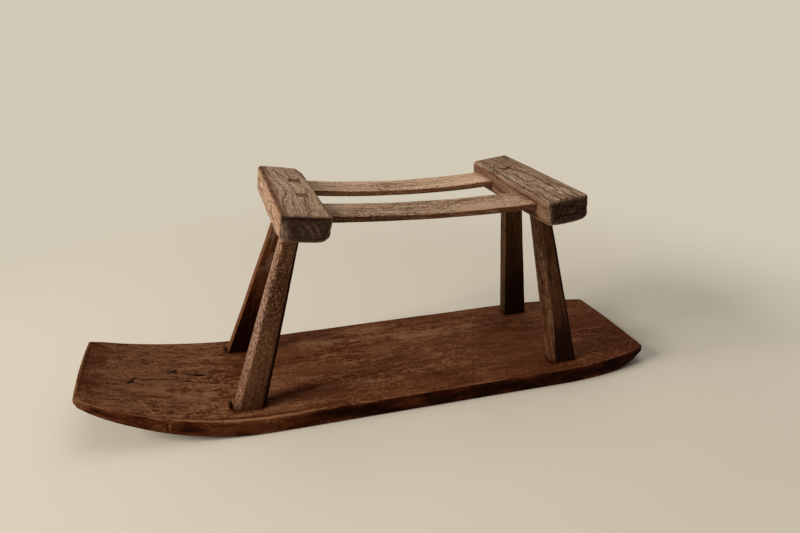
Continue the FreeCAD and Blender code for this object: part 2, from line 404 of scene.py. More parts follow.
class Worked:
    """A shell's points while they are being worked, with what the finish needs to know of each."""

    FACING = 0.6

    def __init__(self, shell: Shell, points: Array, noise: Noise) -> None:
        """Take up a shell.

        Args:
            shell: The shell.
            points: Its points in the piece's own frame.
            noise: The piece's noise.
        """
        self.points = points
        self.noise = noise
        self.normals = shell.normals(points)
        self.state = np.zeros((len(points), 3))
        self.endgrain = np.zeros(len(points))

    def press(self, height: Array) -> None:
        """Move each point along its normal by height."""
        self.points = self.points + self.normals * height[:, None]

    def mark(self, marks: tuple[Mark, ...]) -> None:
        """Cut and colour the marks.

        Args:
            marks: The marks, whose depths add up and of which the strongest colours a point.
        """
        drop = np.zeros(len(self.points))
        for one in marks:
            cover = one.cover(self.points, self.normals, self.noise) * one.strength
            drop += cover * one.depth
            self.state = np.maximum(self.state, cover[:, None] * np.asarray(one.wear.value))
        self.press(-drop)

    def sink(self, pockets: tuple[Pocket, ...], place: Array, reach: Array) -> None:
        """Push the floor of each pocket in, and darken it with painted shade.

        Args:
            pockets: The pockets.
            place: Places of the grid points.
            reach: How far each face lies from 0.
        """
        for pocket in pockets:
            axis, sign = pocket.face.value[:2]
            floor = pocket.inside(place, reach)
            self.points[floor, axis] -= sign * pocket.depth
            # Painted shade on the pocket's floor, seen in the gap round a tenon.
            self.state[floor, 1:] = 1.0

    def add_grime_and_shade(self, amount: Array) -> None:
        """Raise the grime channel, which holds real grime and painted shade, to at least the amount given."""
        self.state[:, 1] = np.maximum(self.state[:, 1], amount)

    def add_wear_and_light(self, amount: Array) -> None:
        """Raise the wear channel, which holds real wear and painted light, to at least the amount given."""
        self.state[:, 0] = np.maximum(self.state[:, 0], amount)

    def finish_tenons(self, between: Array, axis: int, endgrain: float, bareness: float) -> None:
        """Show end grain and wear on the tenons' tips, and painted shade on their sides, which show in the
        mortise gaps.

        Args:
            between: True where the point lies on no tenon.
            axis: The axis along which the tenons stand out.
            endgrain: How strongly the end grain shows.
            bareness: How worn a tip is.
        """
        tip = ~between & (np.abs(self.normals[:, axis]) > self.FACING)
        self.endgrain = np.where(tip, endgrain, 0.0)
        self.add_wear_and_light(np.where(tip, bareness, 0.0))
        # Painted shade on the tenons' sides.
        self.add_grime_and_shade(np.where(~between & ~tip, 1.0, 0.0))


def put_in(name: str, data: bpy.types.ID, axes: tuple | None = None) -> bpy.types.Object:
    """Link a new object into the scene.

    Args:
        name: The object's name.
        data: Its mesh, camera or lamp.
        axes: Its three axes and its place, or nothing where it stays at the origin.

    Returns:
        The object.
    """
    made = bpy.data.objects.new(name, data)
    if axes:
        made.matrix_world = Matrix([*np.column_stack(axes).tolist(), [0.0, 0.0, 0.0, 1.0]])
    bpy.context.scene.collection.objects.link(made)
    return made


def write_piece(name: str, shell: Shell, points: Array, wood: Array, worked: Worked,
                material: bpy.types.Material) -> bpy.types.Object:
    """Put a worked shell into the scene in place of its CAD node.

    Args:
        name: The CAD node's name, with _worn added for the piece.
        shell: The shell whose quads join the points.
        points: Places in the sled's frame, in mm.
        wood: Places in the tree, in mm: along the grain, across it and through it, from the heart.
        worked: The wear, grime and cracks at the points, with painted light in the wear and painted shade in
            the grime.
        material: The finish.

    Returns:
        The new object.
    """
    mesh = bpy.data.meshes.new(name + "_worn")
    mesh.vertices.add(len(points))
    mesh.vertices.foreach_set("co", (points * METRE).astype(np.float32).ravel())
    mesh.loops.add(shell.quads.size)
    mesh.loops.foreach_set("vertex_index", shell.quads.astype(np.int32).ravel())
    mesh.polygons.add(len(shell.quads))
    mesh.polygons.foreach_set("loop_start", np.arange(0, shell.quads.size, 4, dtype=np.int32))
    mesh.polygons.foreach_set("use_smooth", np.ones(len(shell.quads), bool))
    mesh.update(calc_edges=True)
    for title, kind, key, values in (("wood", "FLOAT_VECTOR", "vector", wood * METRE),
                                     ("state", "FLOAT_VECTOR", "vector", worked.state),
                                     ("endgrain", "FLOAT", "value", worked.endgrain)):
        attribute = mesh.attributes.new(title, kind, "POINT")
        attribute.data.foreach_set(key, values.astype(np.float32).ravel())
    mesh.set_sharp_from_angle(angle=SHARP_ANGLE)
    mesh.materials.append(material)
    piece = put_in(name + "_worn", mesh)
    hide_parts(name)
    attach(piece, "root")
    log.info("%s: %d quads", piece.name, len(shell.quads))
    return piece


# Finishes

class Wire:
    """A shader socket that adds its Math nodes when it is used in a sum."""

    def __init__(self, sheet: "Sheet", socket: bpy.types.NodeSocket) -> None:
        """Hold a socket of a sheet's node tree."""
        self.sheet = sheet
        self.socket = socket

    def math(self, operation: str, *terms: "Wire | float") -> "Wire":
        """Add one Math node on the terms given."""
        return self.sheet.wire("ShaderNodeMath", {"operation": operation}, dict(enumerate(terms)))

    def __add__(self, other: "Wire | float") -> "Wire":
        """Sum."""
        return self.math("ADD", self, other)

    def __radd__(self, other: float) -> "Wire":
        """Sum with a number first."""
        return self.math("ADD", other, self)

    def __sub__(self, other: "Wire | float") -> "Wire":
        """Difference."""
        return self.math("SUBTRACT", self, other)

    def __rsub__(self, other: float) -> "Wire":
        """Difference with a number first."""
        return self.math("SUBTRACT", other, self)

    def __mul__(self, other: "Wire | float") -> "Wire":
        """Product."""
        return self.math("MULTIPLY", self, other)

    def __rmul__(self, other: float) -> "Wire":
        """Product with a number first."""
        return self.math("MULTIPLY", other, self)

    def __truediv__(self, other: "Wire | float") -> "Wire":
        """Quotient."""
        return self.math("DIVIDE", self, other)

    def __pow__(self, other: "Wire | float") -> "Wire":
        """Power."""
        return self.math("POWER", self, other)

    def fraction(self) -> "Wire":
        """What is left over the whole number below."""
        return self.math("FRACT", self)

    def at_most(self, other: "Wire | float") -> "Wire":
        """The smaller of the two."""
        return self.math("MINIMUM", self, other)

    def at_least(self, other: "Wire | float") -> "Wire":
        """The larger of the two."""
        return self.math("MAXIMUM", self, other)

    def rise(self, low: float, high: float) -> "Wire":
        """Climb smoothly from 0 at low to 1 at high."""
        return self.sheet.wire("ShaderNodeMapRange", {"interpolation_type": "SMOOTHSTEP"},
                               {"Value": self, "From Min": low, "From Max": high})


class Sheet:
    """One material's node tree, and the few ways in which nodes are put into it."""

    def __init__(self, tree: bpy.types.NodeTree) -> None:
        """Empty the tree."""
        self.tree = tree
        tree.nodes.clear()

    def node(self, kind: str, settings: dict | None = None, values: dict | None = None) -> bpy.types.Node:
        """Add a node.

        Args:
            kind: The node's type name.
            settings: Its properties, which are set first.
            values: Its inputs by name or number: a Wire is linked, and anything else is set.

        Returns:
            The node.
        """
        made = self.tree.nodes.new(kind)
        for key, value in (settings or {}).items():
            setattr(made, key, value)
        for key, value in (values or {}).items():
            if isinstance(value, Wire):
                self.tree.links.new(value.socket, made.inputs[key])
            elif isinstance(value, tuple) and made.inputs[key].type == "RGBA":
                made.inputs[key].default_value = (*value, 1.0)
            else:
                made.inputs[key].default_value = value
        return made

    def wire(self, kind: str, settings: dict | None = None, values: dict | None = None,
             output: int | str = 0) -> Wire:
        """Add a node and take one of its outputs, by name or number."""
        return Wire(self, self.node(kind, settings, values).outputs[output])

    def attribute(self, name: str, output: str) -> Wire:
        """Read one of the mesh's own attributes."""
        return self.wire("ShaderNodeAttribute", {"attribute_type": "GEOMETRY", "attribute_name": name},
                         output=output)

    def parts(self, vector: Wire) -> list[Wire]:
        """Split a vector into its three numbers."""
        return [Wire(self, socket) for socket in
                self.node("ShaderNodeSeparateXYZ", None, {0: vector}).outputs]

    def noise(self, vector: Wire, scale: Point, detail: float, roughness: float = 0.55) -> Wire:
        """Noise about 0, over a vector that is first stretched.

        Args:
            vector: Place in the wood.
            scale: Cells per metre along the grain and across it.
            detail: How many finer octaves are added.
            roughness: How strong each is beside the one before.

        Returns:
            Numbers from -0.5 to 0.5.
        """
        along, across = scale
        wide = self.wire("ShaderNodeVectorMath", {"operation": "MULTIPLY"},
                         {0: vector, 1: (along, across, across)})
        return self.wire("ShaderNodeTexNoise", None, {"Vector": wide, "Scale": 1.0, "Detail": detail,
                                                      "Roughness": roughness}) - 0.5

    def mix(self, share: Wire | float, first: Wire | Colour, second: Wire | Colour,
            mode: str = "MIX") -> Wire:
        """Mix two colours by a share that is held between 0 and 1."""
        return self.wire("ShaderNodeMix", {"data_type": "RGBA", "blend_type": mode, "clamp_factor": True},
                         {0: share, 6: first, 7: second}, 2)

    def show(self, surface: Wire, kind: str = "Material") -> None:
        """Add the node that gives the surface out."""
        self.node("ShaderNodeOutput" + kind, None, {"Surface": surface})


def new_material(name: str) -> tuple[bpy.types.Material, Sheet]:
    """Make a material with an empty sheet.

    Args:
        name: Its name.

    Returns:
        The material and its sheet.
    """
    made = bpy.data.materials.new(name)
    made.use_nodes = True
    return made, Sheet(made.node_tree)


@dataclass(frozen=True)
class WoodFinish:
    """Old bare wood: its colours, and how strongly each scale of its grain shows.

    A scale is given in cells per metre along the grain and across it.
    """

    name: str
    body: Colour
    dark: Colour
    pale: Colour
    worn: Colour
    end: Colour
    grime: Colour = (0.010, 0.005, 0.003)
    stain: Colour = (0.48, 0.38, 0.30)
    drift: Point = (6.0, 26.0)
    streak: Point = (16.0, 240.0)
    mottle: Point = (80.0, 230.0)
    fibre: Point = (50.0, 800.0)
    speck: Point = (480.0, 900.0)
    drift_depth: float = 0.9
    streak_depth: float = 0.9
    mottle_depth: float = 0.9
    fibre_depth: float = 1.1
    speck_depth: float = 1.2
    ring: float = 0.0042
    ring_depth: float = 0.10
    line_depth: float = 0.10
    wander: float = 0.016
    bare_start: float = 0.42
    fleck_start: float = 0.24
    pit_start: float = 0.20
    roughness: float = 0.6
    gloss: float = 0.1
    bump: float = 0.5
    breakup: float = 1.0
    end_contrast: float = 1.6

    RELIEF = 0.0011
    RIPPLE = 0.0022

    def material(self) -> bpy.types.Material:
        """Make the material.

        The tone is a sum of noise on five scales, from slow drift to specks, all stretched along the
        grain, less the growth rings. The rings are cylinders round the tree's heart: the distance from
        it, bent by slow noise, over the ring's width, of which the part after the whole number darkens
        towards each ring's end and draws a thin line there. The tone runs from dark over body to pale.
        Bared wood shows where the mesh carries wear and painted light, broken up by the same noise, and
        flecks and pits stand where it peaks. Soiled wood, where the mesh carries grime and painted shade, is
        first multiplied by the stain's colour and then turns to grime.

        Returns:
            The material.
        """
        made, sheet = new_material(self.name)
        wood = sheet.attribute("wood", "Vector")
        endgrain = sheet.attribute("endgrain", "Fac")
        # The wear channel also holds painted light, and the grime channel holds painted shade.
        worn, grime, crack = sheet.parts(sheet.attribute("state", "Vector"))
        _, across, through = sheet.parts(wood)

        bend = sheet.noise(wood, (3.0, 14.0), 2.0)
        ripple = sheet.noise(wood, (24.0, 60.0), 2.0)
        distance = (across * across + through * through) ** 0.5
        distance = distance + bend * self.wander + ripple * self.RIPPLE
        saw = (distance / self.ring).fraction()
        rings = saw.rise(0.45, 0.88) * (1 - saw.rise(0.9, 1.0))
        lines = saw.rise(0.72, 0.90) * (1 - saw.rise(0.92, 1.0)) * self.line_depth

        drift = sheet.noise(wood, self.drift, 2.0)
        streaks = sheet.noise(wood, self.streak, 3.0, 0.6)
        mottle = sheet.noise(wood, self.mottle, 4.0, 0.68)
        fibres = sheet.noise(wood, self.fibre, 3.0, 0.62)
        specks = sheet.noise(wood, self.speck, 2.0, 0.6)

        patchy = 0.75 + sheet.noise(wood, (9.0, 18.0), 3.0, 0.6) * 3.0
        tone = (streaks * self.streak_depth + mottle * self.mottle_depth + fibres * self.fibre_depth
                + specks * self.speck_depth - rings * self.ring_depth) * patchy.at_least(0.25)
        tone = tone + 0.5 + drift * self.drift_depth - lines * (0.6 + mottle * 3.0).at_least(0.0)
        colour = sheet.mix(tone * 2.0, self.dark, self.body)
        colour = sheet.mix(tone * 2.0 - 1.0, colour, self.pale)
        broken = (mottle * 2.4 + fibres * 2.2 + specks * 1.8 + streaks * 1.2) * self.breakup
        bared = (worn + broken - self.bare_start) * 1.7
        colour = sheet.mix(bared.at_least(0.0) * 0.8, colour, self.worn)
        fleck = mottle + specks * 0.9 + fibres * 0.6 + drift * 0.4 + worn * 0.12
        colour = sheet.mix(fleck.rise(self.fleck_start, self.fleck_start + 0.07) * 0.75, colour, self.worn)
        pit = (streaks * 0.7 - mottle * 0.8 + specks * 0.8).rise(self.pit_start, self.pit_start + 0.08)
        colour = sheet.mix(pit * 0.55, colour, self.grime)
        grit = sheet.noise(wood, (200.0, 440.0), 3.0, 0.72)
        end_tone = (0.75 + (grit * 2.4 + mottle * 0.2) * self.end_contrast - lines * 0.4).at_least(0.0)
        colour = sheet.mix(endgrain, colour, sheet.mix(end_tone, self.grime, self.end))
        soiled = grime * (0.85 + (mottle + fibres) * 1.3)
        colour = sheet.mix(soiled * 1.6, colour, self.stain, "MULTIPLY")
        colour = sheet.mix((soiled - 0.4) * 1.7, colour, self.grime)
        ragged = crack * (1.0 + (fibres + specks + mottle) * 1.5)
        lip = ragged.rise(0.16, 0.34) * (1 - ragged.rise(0.42, 0.56))
        colour = sheet.mix(lip * 0.5, colour, self.worn)
        cleft = ragged.rise(0.48, 0.68)
        colour = sheet.mix(cleft * 0.97, colour, self.grime)

        rough = self.roughness + (fibres + specks) * 0.4 + grime * 0.15 + endgrain * 0.15
        height = fibres * 0.7 + mottle * 0.6 + specks * 0.5 - rings * 0.12 - pit * 0.25 - cleft * 0.6
        bump = sheet.wire("ShaderNodeBump", None,
                          {"Strength": self.bump, "Distance": self.RELIEF, "Height": height})
        sheet.show(sheet.wire("ShaderNodeBsdfPrincipled", None, {
            "Base Color": colour, "Roughness": rough.at_most(0.95).at_least(0.3),
            "Specular IOR Level": self.gloss, "Normal": bump}))
        return made


# The board's grime colour is also the colour of the painted shade on its near side.
BOARD_WOOD = WoodFinish(
    "worn_board_wood", body=(0.114, 0.0375, 0.013), dark=(0.052, 0.0125, 0.003), pale=(0.205, 0.088, 0.04),
    worn=(0.235, 0.108, 0.049), end=(0.185, 0.078, 0.028), grime=(0.01, 0.0026, 0.0006),
    stain=(0.44, 0.24, 0.13), drift=(7.0, 16.0), streak=(16.0, 110.0), mottle=(66.0, 120.0),
    fibre=(62.0, 280.0), speck=(330.0, 260.0), drift_depth=1.3, streak_depth=1.1, mottle_depth=1.3,
    fibre_depth=1.5, speck_depth=1.9, ring_depth=0.08, bare_start=0.26, fleck_start=0.36, pit_start=0.27,
    breakup=0.46, gloss=0.03)
LEG_WOOD = WoodFinish(
    "worn_leg_wood", body=(0.062, 0.023, 0.009), dark=(0.02, 0.006, 0.002), pale=(0.13, 0.062, 0.031),
    worn=(0.25, 0.148, 0.095), end=(0.17, 0.105, 0.065), grime=(0.0085, 0.0034, 0.0016),
    stain=(0.42, 0.3, 0.22), streak=(9.0, 110.0), mottle=(90.0, 220.0), drift_depth=1.4, streak_depth=1.2,
    mottle_depth=1.2, speck_depth=1.3, fleck_start=0.36, gloss=0.03, breakup=0.6)
BLOCK_WOOD = WoodFinish(
    "weathered_block_wood", body=(0.35, 0.222, 0.14), dark=(0.15, 0.08, 0.043), pale=(0.48, 0.335, 0.228),
    worn=(0.425, 0.29, 0.212), end=(0.054, 0.028, 0.018), stain=(0.5, 0.36, 0.29), mottle=(90.0, 230.0),
    fibre=(60.0, 700.0), streak_depth=1.0, mottle_depth=1.5, fibre_depth=2.4, speck_depth=2.5, ring=0.0066,
    line_depth=0.55, roughness=0.75, gloss=0.04, bump=0.8, bare_start=0.6, fleck_start=0.34, pit_start=0.22)
REAR_BLOCK_WOOD = replace(
    BLOCK_WOOD, name="weathered_rear_block_wood", body=(0.25, 0.153, 0.095), dark=(0.085, 0.042, 0.022),
    pale=(0.37, 0.252, 0.17), worn=(0.43, 0.295, 0.205), end=(0.09, 0.055, 0.038), ring=0.0085,
    end_contrast=15.0, streak_depth=1.5)
SLAT_WOOD = WoodFinish(
    "worn_slat_wood", body=(0.365, 0.228, 0.139), dark=(0.125, 0.064, 0.034), pale=(0.45, 0.305, 0.2),
    worn=(0.5, 0.345, 0.235), end=(0.2, 0.12, 0.07), grime=(0.02, 0.008, 0.0035), stain=(0.42, 0.26, 0.17),
    streak=(14.0, 240.0), mottle=(70.0, 260.0), fibre=(55.0, 440.0), speck=(380.0, 440.0), drift_depth=1.1,
    streak_depth=2.0, mottle_depth=1.5, fibre_depth=3.4, speck_depth=4.0, roughness=0.65, gloss=0.04,
    bare_start=0.5, fleck_start=0.32, pit_start=0.25)


# Pieces

def scattered_marks(seed: int, count: int, wear: Wear, low: Point, high: Point, face: Face,
                    length: float, width: float, depth: float, strength: float) -> tuple[Mark, ...]:
    """Small marks strewn over a rectangle of a face, each nearly along the first drawing axis.

    Args:
        seed: Start of the random draw.
        count: How many marks.
        wear: Their kind.
        low: The rectangle's lowest corner.
        high: The rectangle's highest corner.
        face: The face.
        length: The greatest length of a mark.
        width: The greatest width.
        depth: The depth of the widest.
        strength: How strong the marks are.

    Returns:
        The marks.
    """
    draw = np.random.default_rng(seed)
    starts = draw.uniform(low, high, (count, 2))
    reach = draw.uniform(0.25, 1.0, count) * length
    lean = draw.normal(0.0, 0.05, count) * reach
    size = draw.uniform(0.45, 1.0, count)
    return tuple(Mark(wear, ((s[0], s[1]), (s[0] + r, s[1] + k)), width * q, depth * q, face, strength)
                 for s, r, k, q in zip(starts, reach, lean, size))


@dataclass(frozen=True)
class BaseBoard:
    """The long board: level in the middle, with a long rise at the front and a short bevel at the rear.

    Tapers and deck arcs are given as a run and a rise.
    """

    length: float = 727.0
    width: float = 220.0
    thickness: float = 21.2
    front_taper: Point = (227.5, 34.0)
    rear_taper: Point = (138.5, 24.0)
    front_deck: Point = (224.5, 44.9)
    rear_deck: Point = (108.5, 2.6)
    front_sole_run: float = 218.5
    rear_sole_run: float = 60.5
    front_end_thickness: float = 12.2
    rear_end_thickness: float = 5.0
    corner_radius: float = 5.0
    end_bulge: float = 2.2
    seed: int = 11

    HEART = np.asarray([400.0, -22.0, 95.0])
    SCARS, SPLIT, WORN_STRIP = (-266.0, 62.0, 1.0), (-190.0, 9.0, 0.9), (2.0, 30.0, 0.95)
    STREWN = (
        (5, 30, Wear.SCRATCH, (-330, -95), (300, 95), Face.TOP, 40.0, 2.2, 0.10, 0.45),
        (6, 26, Wear.STAIN, (-330, -95), (300, 95), Face.TOP, 60.0, 4.0, 0.0, 0.28),
        (7, 60, Wear.SCRATCH, (-300, -100), (250, 95), Face.UNDER, 130.0, 2.4, 0.2, 0.8))
    MARKS = (
        *marks_of(Wear.SCRATCH, Face.TOP,
            (2.8, 0, 0.8, (-323, 7), (-316, 0), (-308, -6)),
            (2.6, 0, 0.7, (-313, -25), (-307, -27), (-298, -23)),
            (2.6, -0.15, 0.75, (-300, -3), (-285, -1), (-272, 2), (-258, 2)),
            (2.6, 0, 0.65, (-294, -13), (-276, -10), (-256, -10)),
            (2.6, 0, 0.7, (-250, -13), (-240, -12), (-226, -15)),
            (2.4, -0.1, 0.72, (-263, 25), (-243, 23), (-229, 23), (-214, 21), (-205, 13), (-207, 1),
             (-216, -7)),
            (3, -0.15, 0.85, (-252, 4), (-240, 3), (-228, 2), (-216, 2)),
            (2.4, -0.1, 0.7, (-230, -1), (-222, -5), (-214, -8)),
            (2.6, 0.3, 1, (-296, -56), (-286, -74), (-275, -90)), (2.4, 0.3, 0.7, (223, 74), (232, 48))),
        *marks_of(Wear.CRACK, Face.TOP,
            (2.4, 1.8, 1, (-309, -22), (-305, -14), (-303, -9)),
            (1.8, 1.2, 1, (-305, -11), (-302, -7), (-299, -4)),
            (2, 1.2, 0.95, (-306, -15), (-303, -16), (-299, -18)),
            (1.3, 0.5, 0.8, (-320, 4), (-314, -1), (-306, -7)),
            (1.6, 0.9, 0.85, (-301, -9), (-288, -7), (-274, -4)),
            (1.6, 0.8, 0.8, (-276, -4), (-262, -4), (-246, -5)),
            (1.9, 0.9, 0.9, (-246, -9), (-238, -6), (-231, -10)),
            (2.2, 1.2, 0.95, (-264, 12), (-260, 17), (-255, 21), (-250, 19)),
            (2.8, 1.2, 0.9, (-258, 16), (-252, 15)),
            (3.2, 1.8, 1, (-246, 14), (-236, 12), (-224, 10), (-216, 10)),
            (2.2, 1.2, 0.9, (-232, 8), (-226, 8), (-220, 9)),
            (2, 1.1, 0.95, (-219, -3), (-213, 2), (-209, 8)), (1.5, 0.5, 0.8, (-252, 4), (-244, 1)),
            (1.4, 0.5, 0.72, (-242, 22), (-226, 22), (-214, 20)), (3, 0.8, 0.8, (-36, -1), (-26, 1)),
            (3, 0.7, 0.8, (15, 2), (26, 3)), (2.8, 1, 0.85, (298, -13), (321, -15), (357, -19)),
            (2, 4, 1, (-190.8, -62), (-191.0, -79)), (1.8, 4, 1, (-190.2, 75), (-189.2, 90))),
        *marks_of(Wear.GOUGE, Face.TOP, (8, 0.9, 0.4, (-258, 15), (-236, 11), (-214, 9))),
        *marks_of(Wear.RUB, Face.TOP,
            (8, 0, 0.8, (-302, -46), (-292, -62), (-280, -78)), (24, 0, 1.05, (-252, -42), (-222, -80)),
            (12, 0, 1.2, (-224, -34), (-206, -52)), (12, 0, 0.75, (-286, 88), (-258, 72)),
            (18, 0, 0.75, (-300, 60), (-224, 46)), (18, 0, 0.81, (-262, 8), (-222, 0)),
            (18, 0, 1.2, (-100, 70), (-36, 62)), (16, 0, 1, (-40, 84), (60, 88)),
            (14, 0, 1, (-20, 56), (70, 60)), (12, 0, 0.68, (-100, 30), (-46, 22)),
            # The first rub here is a worn patch, made stronger as painted light where the seat's shadow falls
            # on the deck.
            (18, 0, 1, (40, 46), (150, 43)), (13, 0, 1, (114, 54), (176, 50)),
            (12, 0, 0.74, (-120, -30), (-60, -42), (18, -66)), (9, 0, 0.61, (-60, 4), (10, 0)),
            (8, 0, 0.74, (106, -4), (147, -7)), (6, 0, 0.68, (13, 17), (40, 12)),
            (14, 0, 0.68, (188, 10), (207, -7)), (5, 0, 0.7, (198, 37), (226, 33)),
            (5, 0, 0.6, (330, -80), (358, -70)),
            (2.4, 0, 1.7, (-256, -99), (-214, -104), (-150, -108), (-84, -108)),
            (3.6, 0, 1.1, (-190, -94), (-160, -94)),
            (4.5, 0, 0.9, (222, -93), (238, -97), (258, -94), (280, -84))),
        *marks_of(Wear.STAIN, Face.TOP,
            # The first stain is a painted shadow of the front left leg, cast on the deck to the right of its
            # foot.
            (12, 0, 0.8, (-150, -70), (-128, -63), (-104, -55), (-84, -53)),
            (24, 0, 0.14, (-186, 60), (-170, 20), (-166, -30)), (8, 0, 0.22, (-80, 40), (-28, 40)),
            (7, 0, 0.5, (228, -53), (241, -49)), (22, 0, 0.16, (-345, 30), (-335, -60)),
            (1.7, 0.3, 0.95, (-258, -96), (-236, -98), (-196, -101), (-150, -103), (-92, -103.5)),
            (1.8, 0.2, 0.75, (-359, 66), (-357.5, 20), (-357, -20), (-358.5, -66))),
        *marks_of(Wear.RUB, Face.LEFT,
            (1.3, 0, 1.4, (-261, -8), (-260, 8)), (1.3, 0, 1.2, (98, -9), (99, 7)),
            (1.8, 0, 1.1, (170, -5), (173, 5), (177, 3))),
        *marks_of(Wear.STAIN, Face.LEFT,
            (1.6, 0.3, 0.8, (-264, -8), (-263.5, 8)), (4.5, 0, 0.8, (-310, 4), (-292, 0), (-276, 3))))

    def end_rises(self, x: Array, front: Point, rear: Point) -> Array:
        """Rises of two arcs, each given as its run and rise, that climb towards the front and rear ends."""
        half = self.length / 2
        return arc_rise(front[0] - half - x, *front) + arc_rise(x - half + rear[0], *rear)

    def deck_height(self, x: Array) -> Array:
        """Height of the deck: level, and an arc up at each end."""
        return self.thickness + self.end_rises(x, self.front_deck, self.rear_deck)

    def sole_height(self, x: Array) -> Array:
        """Height of the sole: level, and an arc up at each end, as far as the end's thickness leaves."""
        rises = [self.thickness + deck[1] - end for deck, end in
                 ((self.front_deck, self.front_end_thickness), (self.rear_deck, self.rear_end_thickness))]
        return self.end_rises(x, (self.front_sole_run, rises[0]), (self.rear_sole_run, rises[1]))

    def half_width(self, x: Array) -> Array:
        """Half the width: full in the middle, and drawn in by an arc at each end."""
        return self.width / 2 - self.end_rises(x, self.front_taper, self.rear_taper)

    def round_corners(self, points: Array, half: Array) -> Array:
        """Round the four corners seen from above, and bend both ends a little.

        Each square corner's rings become quarter circles. The ends then draw in by the bulge times the
        square of the place across the width.

        Args:
            points: Places on the straightened board.
            half: Its half sizes there.

        Returns:
            The rounded points.
        """
        held = half[:, :2] - self.corner_radius
        inner = np.clip(points[:, :2], -held, held)
        out = points[:, :2] - inner
        length = np.maximum(np.linalg.norm(out, axis=1), TINY)
        shrink = np.where(length > TINY * 10, np.abs(out).max(axis=1) / length, 1.0)
        rounded = points.copy()
        rounded[:, :2] = inner + out * shrink[:, None]
        share = points[:, 1] / half[:, 1]
        reach = smooth(np.abs(points[:, 0]), half[0, 0] - 40.0, half[0, 0])
        rounded[:, 0] -= np.sign(points[:, 0]) * self.end_bulge * share * share * reach
        return rounded

    def build(self, legs: "tuple[Leg, ...]", finish: WoodFinish) -> None:
        """Work the board and write it.

        Args:
            legs: The legs, whose foot tenons show in the sole and round whose feet the deck gets painted
                shade.
            finish: Its wood.
        """
        noise = Noise(self.seed)
        pockets = tuple(leg.foot_pocket() for leg in legs)
        half_length, half_width = self.length / 2, self.width / 2
        x_lines = spaced_lines(half_length, 4.6, (7.0, 0.9), (self.SCARS, self.SPLIT))
        y_lines = spaced_lines(half_width, 2.1, (5.0, 0.7), (self.WORN_STRIP,))
        shell = Shell(with_borders(x_lines, pockets, 0), with_borders(y_lines, pockets, 1), band_lines(3, 4))
        x = shell.grid[:, 0]
        half = columns(half_length, self.half_width(x), (self.deck_height(x) - self.sole_height(x)) / 2)
        depth = from_bands(shell.grid[:, 2], half[:, 2], np.minimum(5.0, half[:, 2] * 0.9))
        box = columns(x, shell.grid[:, 1] * half[:, 1] / half_width, depth)
        rough = partial(noise.fractal, box)
        radius = 1.8 + 0.8 * smooth(depth / half[:, 2], -0.2, 0.2) + 0.9 * rough((45, 80, 80))
        radius = np.clip(radius + 2.4 * smooth(-x, 343.0, 358.0), 1.0, half[:, 2] * 0.93)
        worked = Worked(shell, round_arrises(box, half, radius), noise)

        rim = arris_share(box, half, 5.5)
        worked.press(-0.18 - 0.14 * rough((70, 3.1, 3.1)) + 0.14 * rough((150, 34, 40), 2)
                     - 0.14 * rim * (1 + rough((14, 9, 9), 2))
                     - 0.12 * smooth(rough((26, 4, 5), 2), 0.3, 0.8))
        worked.mark(self.MARKS)
        for strewn in self.STREWN:
            worked.mark(scattered_marks(*strewn))
        # Painted shade on the deck round each foot.
        for leg in legs:
            worked.add_grime_and_shade(leg.foot_shade(box) * 0.75 * (worked.normals[:, 2] > 0.3))
        self.dress(worked, box, rim, rough)
        worked.sink(pockets, box, half)

        points = self.round_corners(worked.points, half)
        points[:, 2] += (self.deck_height(x) + self.sole_height(x)) / 2
        write_piece("base_board", shell, points, box + self.HEART, worked, finish.material())

    def dress(self, worked: Worked, box: Array, rim: Array, rough: Callable[..., Array]) -> None:
        """Wear the arrises and the front of the deck, paint light on the near side's front and lower front
        arris, darken the near side with grime and painted shade, add grime to the underside and mark the end
        grain.

        Args:
            worked: The board's points.
            box: Places on the straightened board.
            rim: One on an arris.
            rough: The noise over the box.
        """
        x, y = box[:, 0], box[:, 1]
        x_part, y_part, z_part = worked.normals.T
        near_side = smooth(-y_part, 0.5, 0.95)
        near_arris = smooth(-y_part, 0.2, 0.5)
        under_arris = near_arris * smooth(-z_part, 0.25, 0.5)
        rim_wear = smooth(rim + 0.35 * rough((22, 12, 12)), 0.5, 1.0)
        worked.add_wear_and_light(rim_wear * (0.35 + 0.2 * (y < 0)) * (1 - 0.8 * near_side))
        worked.add_wear_and_light(near_arris * smooth(z_part, 0.25, 0.5) * (0.3 + 0.7 * smooth(-x, 40.0, 130.0))
                    * smooth(rough((16, 40, 40)), -0.25, 0.35))
        # Painted highlight: the near lower arris towards the front is laid pale where it catches the light.
        worked.add_wear_and_light(0.5 * under_arris * smooth(-x, 150.0, 230.0))
        # Painted light: the front part of the near side, which turns towards the key lamp, is laid a little
        # paler.
        worked.add_wear_and_light(0.12 * near_side * smooth(-x, 40.0, 110.0) * smooth(rough((40, 30, 14)), 0.0, 0.5))
        climb = smooth(-x, 120.0, 230.0) * (1 - smooth(-x, 330.0, 354.0))
        worked.add_wear_and_light(0.48 * climb * smooth(z_part, 0.5, 0.9))
        # The near side is darkened, more so behind the front legs: partly grime and partly painted shade.
        smear = 0.66 + 0.8 * rough((30, 46, 9)) + 0.45 * smooth(x, -112.0, -66.0)
        worked.add_grime_and_shade(near_side * smear * (1 - 0.25 * rim))
        worked.add_grime_and_shade(0.16 * smooth(x, 90.0, 330.0) + 0.2 * smooth(x, 20.0, 110.0) * smooth(-y, 50.0, 88.0))
        worked.add_grime_and_shade(0.55 * smooth(-z_part, 0.5, 0.9))
        worked.endgrain = np.maximum(smooth(-x_part, 0.22, 0.5), smooth(x_part, 0.6, 0.95) * 0.7)
        worked.endgrain = np.maximum(worked.endgrain, 0.7 * under_arris * smooth(-x, 130.0, 230.0))


